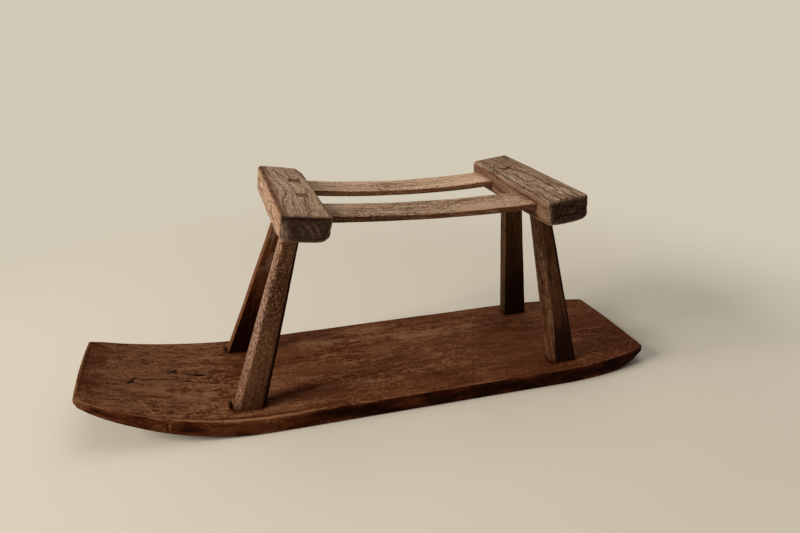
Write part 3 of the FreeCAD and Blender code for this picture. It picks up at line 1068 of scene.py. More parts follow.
@dataclass(frozen=True)
class CrossBlock:
    """One cross block: its size, the middle of its top face, its lean about Y and its own wear."""

    name: str
    x: float
    offset_y: float
    width: float
    length: float
    left_thickness: float
    right_thickness: float
    top: float
    lean_deg: float
    seed: int
    marks: tuple[Mark, ...]
    heart: tuple[float, float] = (-18.0, 46.0)
    arris: float = 4.0
    end_arris: float = 3.5
    bulge: tuple[float, float, float] = (0.0, 0.0, 40.0)
    drift: float = 0.0
    round_corner: tuple[float, float, float] = (0.0, 0.0, 0.0)
    near_under_rounding: float = 0.0
    near_top_rounding: float = -1.5
    near_end_roughness: float = 0.0
    near_end_grime: float = 0.0
    end_rim: float = 2.6
    rim_share: float = 0.4
    side_soil: float = 0.0
    lit_side: float = 0.0

    ARRIS_LINES = (6.0, 0.62)
    RING_WIDTH = 4.2

    def lean(self) -> tuple[float, float]:
        """Cosine and sine of the lean."""
        return math.cos(math.radians(self.lean_deg)), math.sin(math.radians(self.lean_deg))

    def thickness(self) -> float:
        """Thickness at the middle of the length."""
        return (self.left_thickness + self.right_thickness) / 2

    def to_sled(self, local: Array) -> Array:
        """Turn places in the block's frame into the sled's frame.

        Args:
            local: Places from the middle of the block's top face.

        Returns:
            The same places from the sled's origin.
        """
        cosine, sine = self.lean()
        a, b, c = local.T
        return columns(self.x + a * cosine + c * sine, self.offset_y + b, self.top - a * sine + c * cosine)

    def height_at(self, x: Array, below: Array) -> Array:
        """Height of the sloping plane that lies below the top face by a distance square to it."""
        cosine, sine = self.lean()
        return self.top - (below + (x - self.x) * sine) / cosine

    def thickness_at(self, along: Array) -> Array:
        """Thickness at a distance along the block from its middle."""
        share = along / self.length + 0.5
        return self.left_thickness + (self.right_thickness - self.left_thickness) * share

    def underside_at(self, x: Array, y: Array) -> Array:
        """Height of the underside over a place."""
        return self.height_at(x, self.thickness_at(y - self.offset_y))

    def side_x(self, z: Array, across: float) -> Array:
        """Place along X of the plane at a distance across from the middle, at height z."""
        cosine, sine = self.lean()
        return self.x + across * cosine + (z - self.top + across * sine) * sine / cosine

    def build(self, legs: "tuple[Leg, ...]", slats: "tuple[SeatSlat, ...]", finish: WoodFinish) -> None:
        """Work the block and write it.

        Args:
            legs: The two legs under it, whose tenons show in its top.
            slats: The slats, whose tenons show in its outer side.
            finish: Its wood.
        """
        noise = Noise(self.seed)
        pockets = (*(leg.head_pocket(self) for leg in legs), *(slat.end_pocket(self) for slat in slats))
        half_a, half_b, middle = self.width / 2, self.length / 2, self.thickness() / 2
        lines = [with_borders(spaced_lines(reach, step, self.ARRIS_LINES), pockets, axis, shift)
                 for axis, (reach, step, shift) in
                 enumerate(((half_a, 1.0, 0.0), (half_b, 1.55, 0.0), (middle, 0.95, middle)))]
        shell = Shell(*lines)
        a, b = shell.grid[:, 0], shell.grid[:, 1]
        thickness = self.thickness_at(b)
        half = columns(half_a, half_b, thickness / 2)
        place = shell.grid - [0.0, 0.0, middle]
        box = columns(a, b, place[:, 2] * thickness / (2 * middle) + thickness / 2)
        rounded = round_arrises(box, half, self.rounding(box, thickness, noise))
        rounded[:, 2] -= thickness / 2
        worked = Worked(shell, rounded, noise)

        swell, swell_b, swell_reach = self.bulge
        grain_a = a + self.drift * b - swell * bell(b - swell_b, swell_reach)
        wood = columns(b, grain_a, rounded[:, 2]) + [300.0, *self.heart]
        self.dress(worked, box, half, wood)
        worked.sink(pockets, place, np.asarray([half_a, half_b, 0.0]))
        write_piece(self.name, shell, self.to_sled(worked.points), wood, worked,
                    finish.material())

    def rounding(self, box: Array, thickness: Array, noise: Noise) -> Array:
        """Radius of the worn arrises, which is larger at the near end and at the round corner.

        Args:
            box: Places on the block.
            thickness: Its thickness there.
            noise: The block's noise.

        Returns:
            The radius at each place.
        """
        a, b, c = box.T
        corner_a, corner_b, corner_more = self.round_corner
        from_end = b + self.length / 2
        near = bell(from_end, 20.0)
        radius = self.arris + 1.1 * noise.fractal(box, (26, 40, 26))
        radius += (self.end_arris * near * smooth(np.abs(a) / (self.width / 2), 0.3, 0.8)
                   * smooth(-c, -14.0, 0.0))
        radius += self.near_under_rounding * near * (c < 0)
        radius += self.near_top_rounding * bell(from_end, 14.0) * smooth(c, 3.0, 11.0)
        radius += corner_more * bell(np.hypot(a - corner_a, b - corner_b), 22.0)
        return np.minimum(np.clip(radius, 1.5, self.width * 0.4), thickness * 0.45)

    def dress(self, worked: Worked, box: Array, half: Array, wood: Array) -> None:
        """Open the grain, cut the marks, wear the arrises, paint light on the lit side, add grime to the
        sides and mark the end grain.

        Args:
            worked: The block's points.
            box: Places on the block.
            half: Its half sizes there.
            wood: Places in the tree.
        """
        rough = partial(worked.noise.fractal, box)
        x_part, y_part, z_part = worked.normals.T
        rim, edge = arris_share(box, half, 5.0), arris_share(box, half, self.end_rim)
        ends, near_end = smooth(np.abs(y_part), 0.6, 0.9), smooth(-y_part, 0.35, 0.7)
        rings = np.hypot(wood[:, 1], wood[:, 2]) + 5.0 * worked.noise.fractal(wood, (90, 30, 30), 2)
        ridges = np.abs((rings / self.RING_WIDTH) % 1.0 - 0.5) * 2
        split = smooth(worked.noise.fractal(wood, (34, 2.6, 2.6)), 0.1, 0.7)
        worked.press(-0.24 - (0.10 * ridges ** 2 + 0.22 * split) * (1 - ends) + 0.20 * rough((40, 60, 40), 2)
                     - 0.15 * ends * smooth(rough((4, 4, 3)), -0.2, 0.7)
                     - self.near_end_roughness * near_end * smooth(rough((6, 4, 2.6)), -0.2, 0.6)
                     - 0.35 * rim * smooth(rough((9, 13, 9), 2), 0.0, 0.8))
        worked.mark(self.marks)
        worked.endgrain = np.maximum(ends, near_end) * (0.97 - self.rim_share * edge)
        worked.endgrain *= 1 - 0.45 * worked.state[:, 0]
        worked.add_wear_and_light(rim * (0.30 + 0.35 * rough((16, 16, 16), 2)))
        if self.lit_side:
            # Painted light: the side that faces the key lamp is laid a little paler in the wear colour.
            worked.add_wear_and_light(0.2 * smooth(x_part * self.lit_side, 0.7, 0.95))
            strip = bell(box[:, 0] - self.lit_side * (half[:, 0] - 3.0), 6.0) * smooth(z_part, 0.2, 0.5)
            worked.add_grime_and_shade((0.64 + 0.16 * smooth(rough((7, 16, 7)), -0.3, 0.5)) * strip)
        worked.add_grime_and_shade(self.side_soil * smooth(-x_part, 0.7, 0.95))
        worked.add_grime_and_shade(self.near_end_grime * near_end * (1 - 0.8 * edge))
        worked.add_grime_and_shade(0.35 * smooth(-z_part, 0.5, 0.9))


@dataclass(frozen=True)
class Leg:
    """One tapered leg with cut-off arrises, and a tenon at its foot and at its head.

    Sections are given as a width along X and a thickness along Y. So are the cuts, for the arrises at
    -X -Y, +X -Y, -X +Y and +X +Y.
    """

    name: str
    side: int
    foot_x: float
    foot_y: float
    head_x: float
    head_y: float
    head_shift: float
    head_slip: float
    slot: Point
    block: CrossBlock
    board: BaseBoard
    seed: int
    heart: tuple[float, float] = (14.0, 30.0)
    foot: Point = (34.0, 19.5)
    head: Point = (21.0, 18.0)
    cuts: tuple[Point, ...] = ((4.3, 4.3),) * 4
    cut_growth: float = 1.0
    lit: float = 0.3
    dark_foot: Point = (60.0, 0.0)
    painted_shade_edge: float = 0.0
    flaked: tuple[float, float, float] = (60.0, 190.0, 0.0)
    tip: float = 0.35
    head_tenon: Point = (13.0, 15.5)
    foot_tenon: Point = (20.0, 14.0)
    recess: float = 0.9
    marks: tuple[Mark, ...] = ()

    LENGTH = 215.0
    CLEARANCE = 0.2
    FOOT_PLAY = 0.7
    HEAD_PLAY = 0.8
    HEAD_POCKET = 4.5

    def head_z(self) -> float:
        """Height at which the head's middle was set out."""
        return self.block.top - self.block.thickness()

    def slope(self) -> Array:
        """How far the axis moves along X and Y for each mm of height."""
        rise = self.head_z() - self.board.thickness
        return np.asarray([self.head_x - self.foot_x, self.side * (self.head_y - self.foot_y)]) / rise

    def axis_at(self, z: Array) -> Array:
        """Place of the axis in X and Y at height z."""
        foot = np.asarray([self.foot_x, self.side * self.foot_y])
        return foot + (np.asarray(z, float)[..., None] - self.board.thickness) * self.slope()

    def foot_pocket(self) -> Pocket:
        """The mortise in the sole, drawn at the board's full width."""
        centre, reach = self.axis_at(0.0), np.asarray(self.foot_tenon) / 2 + self.FOOT_PLAY
        return Pocket(tuple(centre - reach), tuple(centre + reach), Face.UNDER)

    def head_pocket(self, block: CrossBlock) -> Pocket:
        """The mortise in the block's top face, wider than the tenon by the slot on its near and far sides.

        Args:
            block: The block over the leg.

        Returns:
            The mortise.
        """
        cosine, sine = block.lean()
        z = block.top
        for _ in range(4):
            x = float(self.axis_at(z)[0]) + self.head_shift
            z = float(block.height_at(x, 0.0))
        a = (x - block.x) * cosine - (z - block.top) * sine
        b = float(self.axis_at(z)[1]) + self.head_slip - block.offset_y
        wide, thick = self.head_tenon[0] / 2 + self.HEAD_PLAY, self.head_tenon[1] / 2
        return Pocket((a - wide, b - thick - self.slot[0]), (a + wide, b + thick + self.slot[1]),
                      depth=self.HEAD_POCKET)

    def foot_shade(self, box: Array) -> Array:
        """Painted shade round the foot on the deck: one beside the foot, and falling off as a bell over a few
        mm round it.

        Args:
            box: Places on the board.

        Returns:
            Numbers from 0 to 1.
        """
        out = np.abs(box[:, :2] - [self.foot_x, self.side * self.foot_y]) - (np.asarray(self.foot) / 2 - 1)
        return bell(np.hypot(*np.maximum(out, 0.0).T), 4.5)

    def build(self, finish: WoodFinish) -> None:
        """Work the leg and write it.

        The grid's third axis is a stage: -1 to 0 is the foot tenon, 0 to 1 the shank and 1 to 2 the head
        tenon. The shank's sections are level and shrink evenly from foot to head.

        Args:
            finish: Its wood.
        """
        noise = Noise(self.seed)
        shell = Shell(band_lines(18, 5), band_lines(9, 5), stage_lines(7, 150, 14))
        p, q, s = shell.grid.T
        shank = (s >= 0) & (s <= 1)
        share = np.clip(s, 0.0, 1.0)
        half_w, half_t = (by_stage(s, low / 2 - self.CLEARANCE, (foot + (head - foot) * share) / 2,
                                   high / 2 - self.CLEARANCE) for low, foot, head, high in
                          zip(self.foot_tenon, self.foot, self.head, self.head_tenon))
        band = np.where(shank, 4.3, 1.0)
        across, out = from_bands(p, half_w, band), from_bands(q, half_t, band)
        uneven = 1 + 0.14 * noise.fractal(columns(across, out, 220 * s), (60, 60, 40), 2)
        uneven *= 1 + (self.cut_growth - 1) * share
        for (side_y, side_x), cut in zip(product((-1, 1), repeat=2), self.cuts):
            wide, thick = (np.where(shank, one, 0.3) * uneven for one in cut)
            over = (across * side_x - half_w) / wide + (out * side_y - half_t) / thick + 1
            over = np.maximum(over, 0.0) / (1 / wide ** 2 + 1 / thick ** 2)
            across, out = across - side_x * over / wide, out - side_y * over / thick

        z = self.board.thickness + share * (self.head_z() - self.board.thickness)
        for _ in range(3):
            centre = self.axis_at(z) + (s > 1)[:, None] * [self.head_shift, self.head_slip]
            x, y = centre[:, 0] + across, centre[:, 1] + out
            low = self.board.deck_height(x) - self.FOOT_PLAY
            high = self.block.underside_at(x, y) + self.HEAD_PLAY
            top = self.block.height_at(x, self.recess)
            z = by_stage(s, self.recess + (low - self.recess) * (s + 1), low + (high - low) * share,
                         high + (top - high) * (s - 1))
        local = columns(s * self.LENGTH, across, out)
        worked = Worked(shell, columns(x, y, z), noise)
        rough = partial(noise.fractal, local)
        rim = bell(np.maximum(half_w - np.abs(across), half_t - np.abs(out)), 3.2) * shank
        flakes = rough((9, 4.5, 4.5))
        worked.press(shank * (-0.06 + 0.3 * rough((70, 16, 16), 2) - 0.10 * rough((40, 2.4, 2.4))
                              - 0.16 * smooth(flakes, 0.0, 0.7)
                              - 0.25 * rim * smooth(rough((16, 8, 8), 2), 0.0, 0.8)))
        self.dress(worked, local[:, 0], rim, flakes, shank)
        worked.mark(self.marks)
        wood = local + [500.0 * (self.seed % 7), *self.heart]
        write_piece(self.name, shell, worked.points, wood, worked, finish.material())

    def dress(self, worked: Worked, along: Array, rim: Array, flakes: Array, shank: Array) -> None:
        """Wear the arrises and flaking patches, paint light on the sides that face the key lamp, paint shade
        on the chamfer that faces away from it, darken the near face towards the foot with grime and painted
        shade, add grime to the ends of the shank and mark the tenons' end grain.

        Args:
            worked: The leg's points.
            along: Places along the axis.
            rim: One on an arris.
            flakes: Noise of flaking patches.
            shank: True on the shank.
        """
        x_part, y_part, _ = worked.normals.T
        near = smooth(-y_part, 0.8, 0.95) * shank
        # Painted shade on the chamfer between the front and the right side, which faces away from the key
        # lamp: its wear is taken off and it is darkened.
        edge = smooth(x_part, 0.3, 0.6) * smooth(-y_part, 0.3, 0.6) * shank
        worked.state[:, 0] = rim * (0.30 + 0.4 * flakes) + 0.12 * smooth(flakes, 0.1, 0.7) * shank
        worked.state[:, 0] *= 1 - 0.95 * edge * (self.painted_shade_edge > 0)
        # Painted light: the sides that face the key lamp are laid paler in the wear colour, more so up the
        # leg.
        lit_arris = smooth(-x_part, 0.25, 0.45) * shank
        worked.add_wear_and_light(self.lit * (0.45 + 0.65 * smooth(along, 0.0, 130.0)) * lit_arris)
        low, high, amount = self.flaked
        worked.add_wear_and_light(amount * near * smooth(along, low, low + 30) * (1 - smooth(along, high - 30, high))
                    * smooth(flakes, -0.35, 0.25))
        # Darker on the near face towards the foot: partly grime and partly painted shade.
        reach, depth = self.dark_foot
        worked.add_grime_and_shade(depth * near * (1 - smooth(along + 14 * flakes, reach * 0.1, reach)))
        # Painted shade on that chamfer.
        worked.add_grime_and_shade(self.painted_shade_edge * edge)
        worked.add_grime_and_shade(0.6 * bell(along, 7.0) * shank)
        worked.add_grime_and_shade(0.5 * smooth(along, self.LENGTH - 15, self.LENGTH) * shank)
        worked.finish_tenons(shank, 2, self.tip, 0.7)


@dataclass(frozen=True)
class SeatSlat:
    """One sagging seat slat: where it lies, the heights of its top, and its marks."""

    name: str
    centre_y: float
    front_top: float
    middle_top: float
    rear_top: float
    front: CrossBlock
    rear: CrossBlock
    seed: int
    marks: tuple[Mark, ...] = ()
    heart: tuple[float, float] = (12.0, 40.0)
    width: float = 57.0
    thickness: float = 7.2
    end_thickness: float = 9.6
    tenon_width: float = 35.0
    tenon_thickness: float = 8.4
    recess: float = 0.9

    SPAN = 280.0
    CLEARANCE = 0.3
    SIDE_PLAY = 1.1
    FLAT_PLAY = 0.9
    LET_IN = 1.5
    ENDLESS = 1000.0

    def half_span(self) -> float:
        """Half the distance between the middles of the two blocks."""
        return (self.rear.x - self.front.x) / 2

    def top_at(self, x: Array) -> Array:
        """Height of the top: the parabola through the three heights.

        Args:
            x: Places along the sled.

        Returns:
            The heights.
        """
        share = (x - self.front.x) / self.half_span() - 1
        slope = (self.rear_top - self.front_top) / 2
        bend = (self.rear_top + self.front_top) / 2 - self.middle_top
        return self.middle_top + slope * share + bend * share * share

    def thickness_at(self, x: Array) -> Array:
        """Thickness: least at mid span, and growing with the square of the distance from there."""
        share = (x - self.front.x - self.half_span()) / (self.half_span() + self.front.width)
        return self.thickness + (self.end_thickness - self.thickness) * share * share

    def end_pocket(self, block: CrossBlock) -> Pocket:
        """The mortise in the block's outer side, drawn along it and down from its top face.

        Args:
            block: The front or the rear block.

        Returns:
            The mortise.
        """
        cosine, sine = block.lean()
        outward = -1 if block is self.front else 1
        across = outward * block.width / 2
        x = block.x + across * cosine
        for _ in range(4):
            z = float(self.top_at(x)) - self.end_thickness / 2
            x = float(block.side_x(z, across))
        down = (x - block.x) * sine + (z - block.top) * cosine
        b = self.centre_y - block.offset_y
        wide, thick = self.tenon_width / 2 + self.SIDE_PLAY, self.tenon_thickness / 2 + self.FLAT_PLAY
        return Pocket((b - wide, down - thick), (b + wide, down + thick),
                      Face.FRONT if outward < 0 else Face.REAR)

    def build(self, finish: WoodFinish) -> None:
        """Work the slat and write it.

        The grid's first axis is a stage: -1 to 0 is the front tenon, 0 to 1 the span and 1 to 2 the rear
        tenon. Each end follows the leaning side of its block.

        Args:
            finish: Its wood.
        """
        noise = Noise(self.seed)
        shell = Shell(stage_lines(10, 190, 10), band_lines(44, 4), band_lines(4, 3))
        s, v, w = shell.grid.T
        span = (s >= 0) & (s <= 1)
        share = np.clip(s, 0.0, 1.0)
        middle = self.front.x + self.half_span()
        sides = [(block, side * (block.width / 2 - inset)) for block, side, inset in (
            (self.front, -1, self.recess), (self.front, 1, self.LET_IN),
            (self.rear, -1, self.LET_IN), (self.rear, 1, self.recess))]
        x = self.front.x + share * 2 * self.half_span()
        for _ in range(4):
            thickness = np.where(span, self.thickness_at(x), self.tenon_thickness - self.CLEARANCE)
            centre = self.top_at(x) - self.thickness_at(x) / 2
            z = centre + from_bands(w, thickness / 2, np.full_like(w, 1.8))
            start, front, rear, end = (block.side_x(z, across) for block, across in sides)
            x = by_stage(s, start + (front - start) * (s + 1), front + (rear - front) * share,
                         rear + (end - rear) * (s - 1))
        wave = noise.fractal(columns(x, np.sign(v) * 50, 0.0), (80, 40, 40), 2)
        half_w = np.where(span, self.width / 2 + 0.4 * wave, self.tenon_width / 2) - self.CLEARANCE
        across = from_bands(v, half_w, np.full_like(v, 2.6))
        half = columns(self.ENDLESS, half_w, thickness / 2)
        box = columns(x - middle, across, z - centre)
        rough = partial(noise.fractal, box)
        radius = np.where(span, np.clip(1.9 + 0.8 * rough((40, 30, 30), 2), 0.8, 3.0), 0.4)
        rounded = round_arrises(box, half, radius)
        worked = Worked(shell, rounded, noise)
        rim = bell(np.maximum(half_w - np.abs(across), thickness / 2 - np.abs(z - centre)), 3.0)
        worked.press(span * (-0.10 - 0.12 * rough((60, 2.6, 2.6)) + 0.18 * rough((60, 18, 18), 2)
                             - 0.2 * rim * smooth(rough((18, 8, 8), 2), 0.0, 0.8)))
        worked.mark(self.marks)
        worked.add_wear_and_light(rim * (0.3 + 0.3 * rough((20, 9, 9), 2)) * span)
        # The sides are darkened: partly grime and partly painted shade.
        worked.add_grime_and_shade(0.67 * smooth(np.abs(worked.normals[:, 1]), 0.45, 0.8) * span)
        ends = [share * self.SPAN, (1 - share) * self.SPAN]
        worked.add_grime_and_shade(0.45 * sum(bell(end, 9.0) for end in ends) * span)
        # Painted shade in the narrow gap where the span meets each block.
        worked.add_grime_and_shade(0.95 * bell(np.minimum(*ends), 2.6) * span)
        worked.add_grime_and_shade(0.3 * smooth(-worked.normals[:, 2], 0.4, 0.9))
        worked.finish_tenons(span, 0, 0.3, 0.75)
        points = worked.points + [middle, self.centre_y, 0.0]
        points[:, 2] += centre
        wood = rounded + [700.0 + 300.0 * (self.seed % 5), *self.heart]
        write_piece(self.name, shell, points, wood, worked, finish.material())


# The stage

@dataclass(frozen=True)
class Studio:
    """Floor, camera and soft lights. The camera stands where the photograph's stood."""

    place: Triple = (-0.18855, -0.83191, 0.47311)
    right: Triple = (0.96206934, -0.27223551, -0.01761857)
    upward: Triple = (0.11205495, 0.33546259, 0.93536546)
    ahead: Triple = (0.24872932, 0.90186068, -0.35324361)
    sensor: float = 36.0
    lens: float = 31.774
    floor_colour: Colour = (0.62, 0.555, 0.45)
    backdrop: Colour = (0.64, 0.580, 0.465)
    rings: tuple[float, ...] = (0.5, 1.2, 2.5, 7.0)
    spokes: int = 64
    floor_fade: Point = (0.42, 1.0)
    fill: float = 0.27

    AIM = np.asarray([0.0, 0.0, 0.12])

    def build(self) -> None:
        """Put in the floor, the camera, the lamps and the world."""
        self.lay_floor()
        self.set_camera()
        self.light("key_softbox", (-3.75, -0.62, 1.95), 1.9, 235.0, (1.0, 0.97, 0.93))
        self.light("top_softbox", (0.4, 0.8, 3.5), 2.6, 30.0, (1.0, 0.985, 0.96))
        self.set_world()

    def lay_floor(self) -> None:
        """Lay a plain pale floor, a disc of rings and spokes with its middle under the sled.

        Away from the sled the camera sees the backdrop's colour on it, so that the two run into one.
        """
        turn = np.arange(self.spokes) * 2 * np.pi / self.spokes
        ring = columns(np.cos(turn), np.sin(turn), 0.0)
        rings = (np.asarray(self.rings)[:, None, None] * ring).reshape(-1, 3)
        here = 1 + np.arange(self.spokes)
        onward = np.roll(here, -1)
        faces = columns(0, here, onward).tolist()
        for k in range(len(self.rings) - 1):
            inner, outer = k * self.spokes, (k + 1) * self.spokes
            faces += columns(here + inner, here + outer, onward + outer, onward + inner).tolist()
        mesh = bpy.data.meshes.new("plain_floor")
        mesh.from_pydata([[0.0, 0.0, 0.0], *rings.tolist()], [], faces)
        made, sheet = new_material("pale_floor")
        surface = sheet.wire("ShaderNodeBsdfPrincipled", None,
                             {"Base Color": self.floor_colour, "Roughness": 0.8, "Specular IOR Level": 0.2})
        plain = sheet.wire("ShaderNodeEmission", None, {"Color": self.backdrop})
        place = sheet.wire("ShaderNodeTexCoord", output="Object")
        away = sheet.wire("ShaderNodeVectorMath", {"operation": "LENGTH"}, {0: place}, "Value")
        seen = sheet.wire("ShaderNodeLightPath", output="Is Camera Ray")
        sheet.show(sheet.wire("ShaderNodeMixShader", None,
                              {0: away.rise(*self.floor_fade) * seen, 1: surface, 2: plain}))
        mesh.materials.append(made)
        put_in("plain_floor", mesh)

    def set_camera(self) -> None:
        """Set the camera up from its place and its three directions."""
        data = bpy.data.cameras.new("camera")
        data.sensor_fit, data.sensor_width, data.lens = "HORIZONTAL", self.sensor, self.lens
        back = tuple(-value for value in self.ahead)
        bpy.context.scene.camera = put_in("camera", data, (self.right, self.upward, back, self.place))

    def light(self, name: str, place: Triple, size: float, power: float, colour: Colour) -> None:
        """Hang a square soft lamp that points at the sled's middle.

        Args:
            name: The lamp's name.
            place: Where it hangs, in metres.
            size: Its side in metres.
            power: Its power in watts.
            colour: Its colour.
        """
        data = bpy.data.lights.new(name, "AREA")
        data.size, data.energy, data.color = size, power, colour
        back = (place - self.AIM) / np.linalg.norm(place - self.AIM)
        side = np.cross([0.0, 0.0, 1.0], back)
        side /= np.linalg.norm(side)
        put_in(name, data, (side, np.cross(back, side), back, place))

    def set_world(self) -> None:
        """Light from all round at the fill's strength, and show a pale backdrop to the camera."""
        world = bpy.data.worlds.new("pale_room")
        world.use_nodes = True
        bpy.context.scene.world = world
        sheet = Sheet(world.node_tree)
        seen = sheet.wire("ShaderNodeLightPath", output="Is Camera Ray")
        colour = sheet.mix(seen, (1.0, 0.98, 0.95), self.backdrop)
        strength = self.fill + seen * (1.0 - self.fill)
        sheet.show(sheet.wire("ShaderNodeBackground", None, {"Color": colour, "Strength": strength}), "World")
        bpy.context.scene.view_settings.view_transform = "Standard"


# Sizes, places and wear of the pieces

FRONT_BLOCK = CrossBlock(
    "cross_block_front", x=-93.8, offset_y=-8.0, width=56.0, length=250.0, left_thickness=30.8,
    right_thickness=33.8, top=266.4, lean_deg=7.4, seed=21, heart=(-34.0, 58.0),
    round_corner=(28.0, 125.0, 9.0), near_under_rounding=3.5, lit_side=-1.0, side_soil=0.24,
    bulge=(8.0, -5.0, 44.0), end_rim=1.8, end_arris=4.5, marks=(
        *marks_of(Wear.CRACK, Face.TOP,
            (1.7, 0.9, 0.7, (-10, 104), (-6, 88), (-3, 74), (1, 50)),
            (1.4, 0.7, 0.62, (1, 30), (2, -4), (3, -26)), (1.2, 0.4, 0.5, (14, 36), (16, 12)),
            (1.5, 0.6, 0.62, (-16, 34), (-9, 10), (-7, -14), (-13, -50)),
            (1.3, 0.5, 0.62, (-14, 6), (-9, -18), (-7, -46)), (1.2, 0.4, 0.5, (-4, 108), (4, 88), (9, 72)),
            (1.5, 0.6, 0.8, (-22, 54), (-22, 46)), (1.4, 0.6, 0.7, (-21, -52), (-22, -80))),
        *marks_of(Wear.GOUGE, Face.TOP,
            (3.6, 0.5, 0.42, (-24, 112), (-24, 30), (-23, -60), (-24, -116)),
            # The second gouge is a shallow groove whose dark colour is painted shade along the near top edge.
            (2.4, 0.2, 0.5, (-14, -123), (24, -123))),
        *marks_of(Wear.RUB, Face.TOP,
            (20, 0, 0.75, (-10, -88), (20, -92)), (7, 0, 0.6, (18, 30), (22, -70))),
        *marks_of(Wear.STAIN, Face.LEFT,
            (1.3, 0.3, 1.1, (-24, -3.2), (0, -3.0), (25, -3.4)),
            (1.3, 0.4, 0.7, (-21, -9), (-14, -16), (-9, -23)), (1.1, 0.3, 0.6, (-17, -8), (-8, -18))),
        *marks_of(Wear.SCRATCH, Face.LEFT,
            (1.2, 0, 0.6, (-3, -7), (4, -14), (9, -24)), (1.2, 0, 0.55, (6, -6), (11, -13), (16, -22)),
            (1, 0, 0.5, (-8, -12), (-1, -21))),
        *marks_of(Wear.RUB, Face.LEFT, (5, 0, 0.8, (-22, -8), (-19, -24)))))
REAR_BLOCK = CrossBlock(
    "cross_block_rear", x=209.5, offset_y=-5.5, width=53.6, length=239.0, left_thickness=31.7,
    right_thickness=31.7, top=256.1, lean_deg=-6.0, seed=22, heart=(-30.0, 52.0),
    round_corner=(-26.8, 119.5, 2.5), near_top_rounding=1.0, near_end_roughness=0.9,
    near_end_grime=0.5, end_arris=3.0, near_under_rounding=1.5, end_rim=3.2, rim_share=0.68,
    side_soil=0.52, drift=0.035, marks=(
        *marks_of(Wear.CRACK, Face.TOP,
            (2.1, 0.9, 0.72, (-17, 112), (-19, 34), (-21, -18), (-24, -82), (-25, -116)),
            (1.4, 0.6, 0.7, (-13, 106), (-15, 70)), (1.4, 0.6, 0.66, (-22, 100), (-24, 10), (-25, -60)),
            (1.6, 0.8, 0.72, (-5, 26), (-8, -8), (-11, -29)), (1.4, 0.6, 0.66, (-2, -56), (-12, -96)),
            (1.4, 0.5, 0.62, (10, 30), (8, -4), (2, -20)), (1.4, 0.5, 0.62, (-14, 60), (-13, 30), (-16, 6)),
            (1.4, 0.6, 0.68, (6, 43), (14, 24), (23, 3)), (1.3, 0.7, 0.9, (-11, 64), (-9, 47), (3, 43)),
            (1.3, 0.6, 0.85, (-14, -32), (-13, -46), (-2, -50))),
        *marks_of(Wear.GOUGE, Face.TOP,
            (3.2, 0.4, 0.4, (-18, 104), (-20, 20), (-23, -60)),
            (2.6, 0.3, 0.4, (4, -50), (-4, -74), (-10, -104)), (3, 0.5, 0.3, (8, 98), (14, 60), (18, 20))),
        *marks_of(Wear.STAIN, Face.TOP, (3.6, 0.6, 0.95, (-4, 38), (3, 34))),
        *marks_of(Wear.RUB, Face.TOP, (18, 0, 1.75, (0, -58), (8, -104))),
        *marks_of(Wear.STAIN, Face.LEFT,
            (1.6, 0.8, 1, (-18, -20), (16, -22)), (1.4, 0.7, 1, (-16, -9), (14, -12))),
        *marks_of(Wear.RUB, Face.LEFT, (1.6, 0, 0.6, (-14, -17), (12, -18)))))
BOARD = BaseBoard()
FRONT_LEFT = (-170.2, 76.7, -98.2, 40.8, 2.5)
FRONT_RIGHT = (-172.2, 76.7, -96.0, 40.8, 0.3)
REAR_LEFT = (239.8, 79.6, 213.0, 46.8, -2.2)
REAR_RIGHT = (240.9, 79.6, 215.9, 46.8, -5.1)
OUTER = (4.3, 4.3)
EASED = (1.3, 1.3)
LEGS = (
    Leg("leg_front_left", -1, *FRONT_LEFT, -4.5, (1.2, 0.5), FRONT_BLOCK, BOARD, 31, foot=(38.6, 19.5),
        cuts=((6.2, 5.6), (5.0, 5.0), EASED, EASED), cut_growth=0.5, lit=0.74, painted_shade_edge=0.95,
        dark_foot=(60.0, 0.4), flaked=(50.0, 205.0, 0.3), marks=marks_of(
            Wear.SCRATCH, Face.LEFT, (0.8, 0, 0.8, (-182.5, 30), (-142.5, 130), (-104.5, 228)))),
    Leg("leg_front_right", 1, *FRONT_RIGHT, -2.0, (1.8, 0.4), FRONT_BLOCK, BOARD, 32, (-20.0, -34.0),
        cuts=((1.4, 1.6), EASED, OUTER, OUTER), lit=0.4, dark_foot=(150.0, 0.95), flaked=(100.0, 260.0, 1.0)),
    Leg("leg_rear_left", -1, *REAR_LEFT, 0.0, (1.8, 1.3), REAR_BLOCK, BOARD, 33, foot=(36.4, 19.5),
        head=(23.4, 18.0), cuts=((6.2, 6.0), (4.4, 4.0), EASED, EASED), cut_growth=1.3, lit=0.45,
        painted_shade_edge=0.9, dark_foot=(112.0, 0.95), flaked=(80.0, 215.0, 0.16), tip=1.0, marks=(
            *marks_of(Wear.CRACK, Face.LEFT, (0.8, 0.25, 0.75, (228.6, 28), (219.2, 120), (210.2, 218))),
            *marks_of(Wear.SCRATCH, Face.LEFT, (0.7, 0, 0.6, (226.6, 28), (217.2, 120), (208.2, 218))))),
    Leg("leg_rear_right", 1, *REAR_RIGHT, -3.0, (1.2, 1.2), REAR_BLOCK, BOARD, 34, (-20.0, -34.0),
        head=(24.6, 18.0), cuts=((0.9, 0.9), EASED, (1.6, 1.6), OUTER), lit=0.66, dark_foot=(170.0, 0.6),
        tip=1.0, recess=3.0),
)
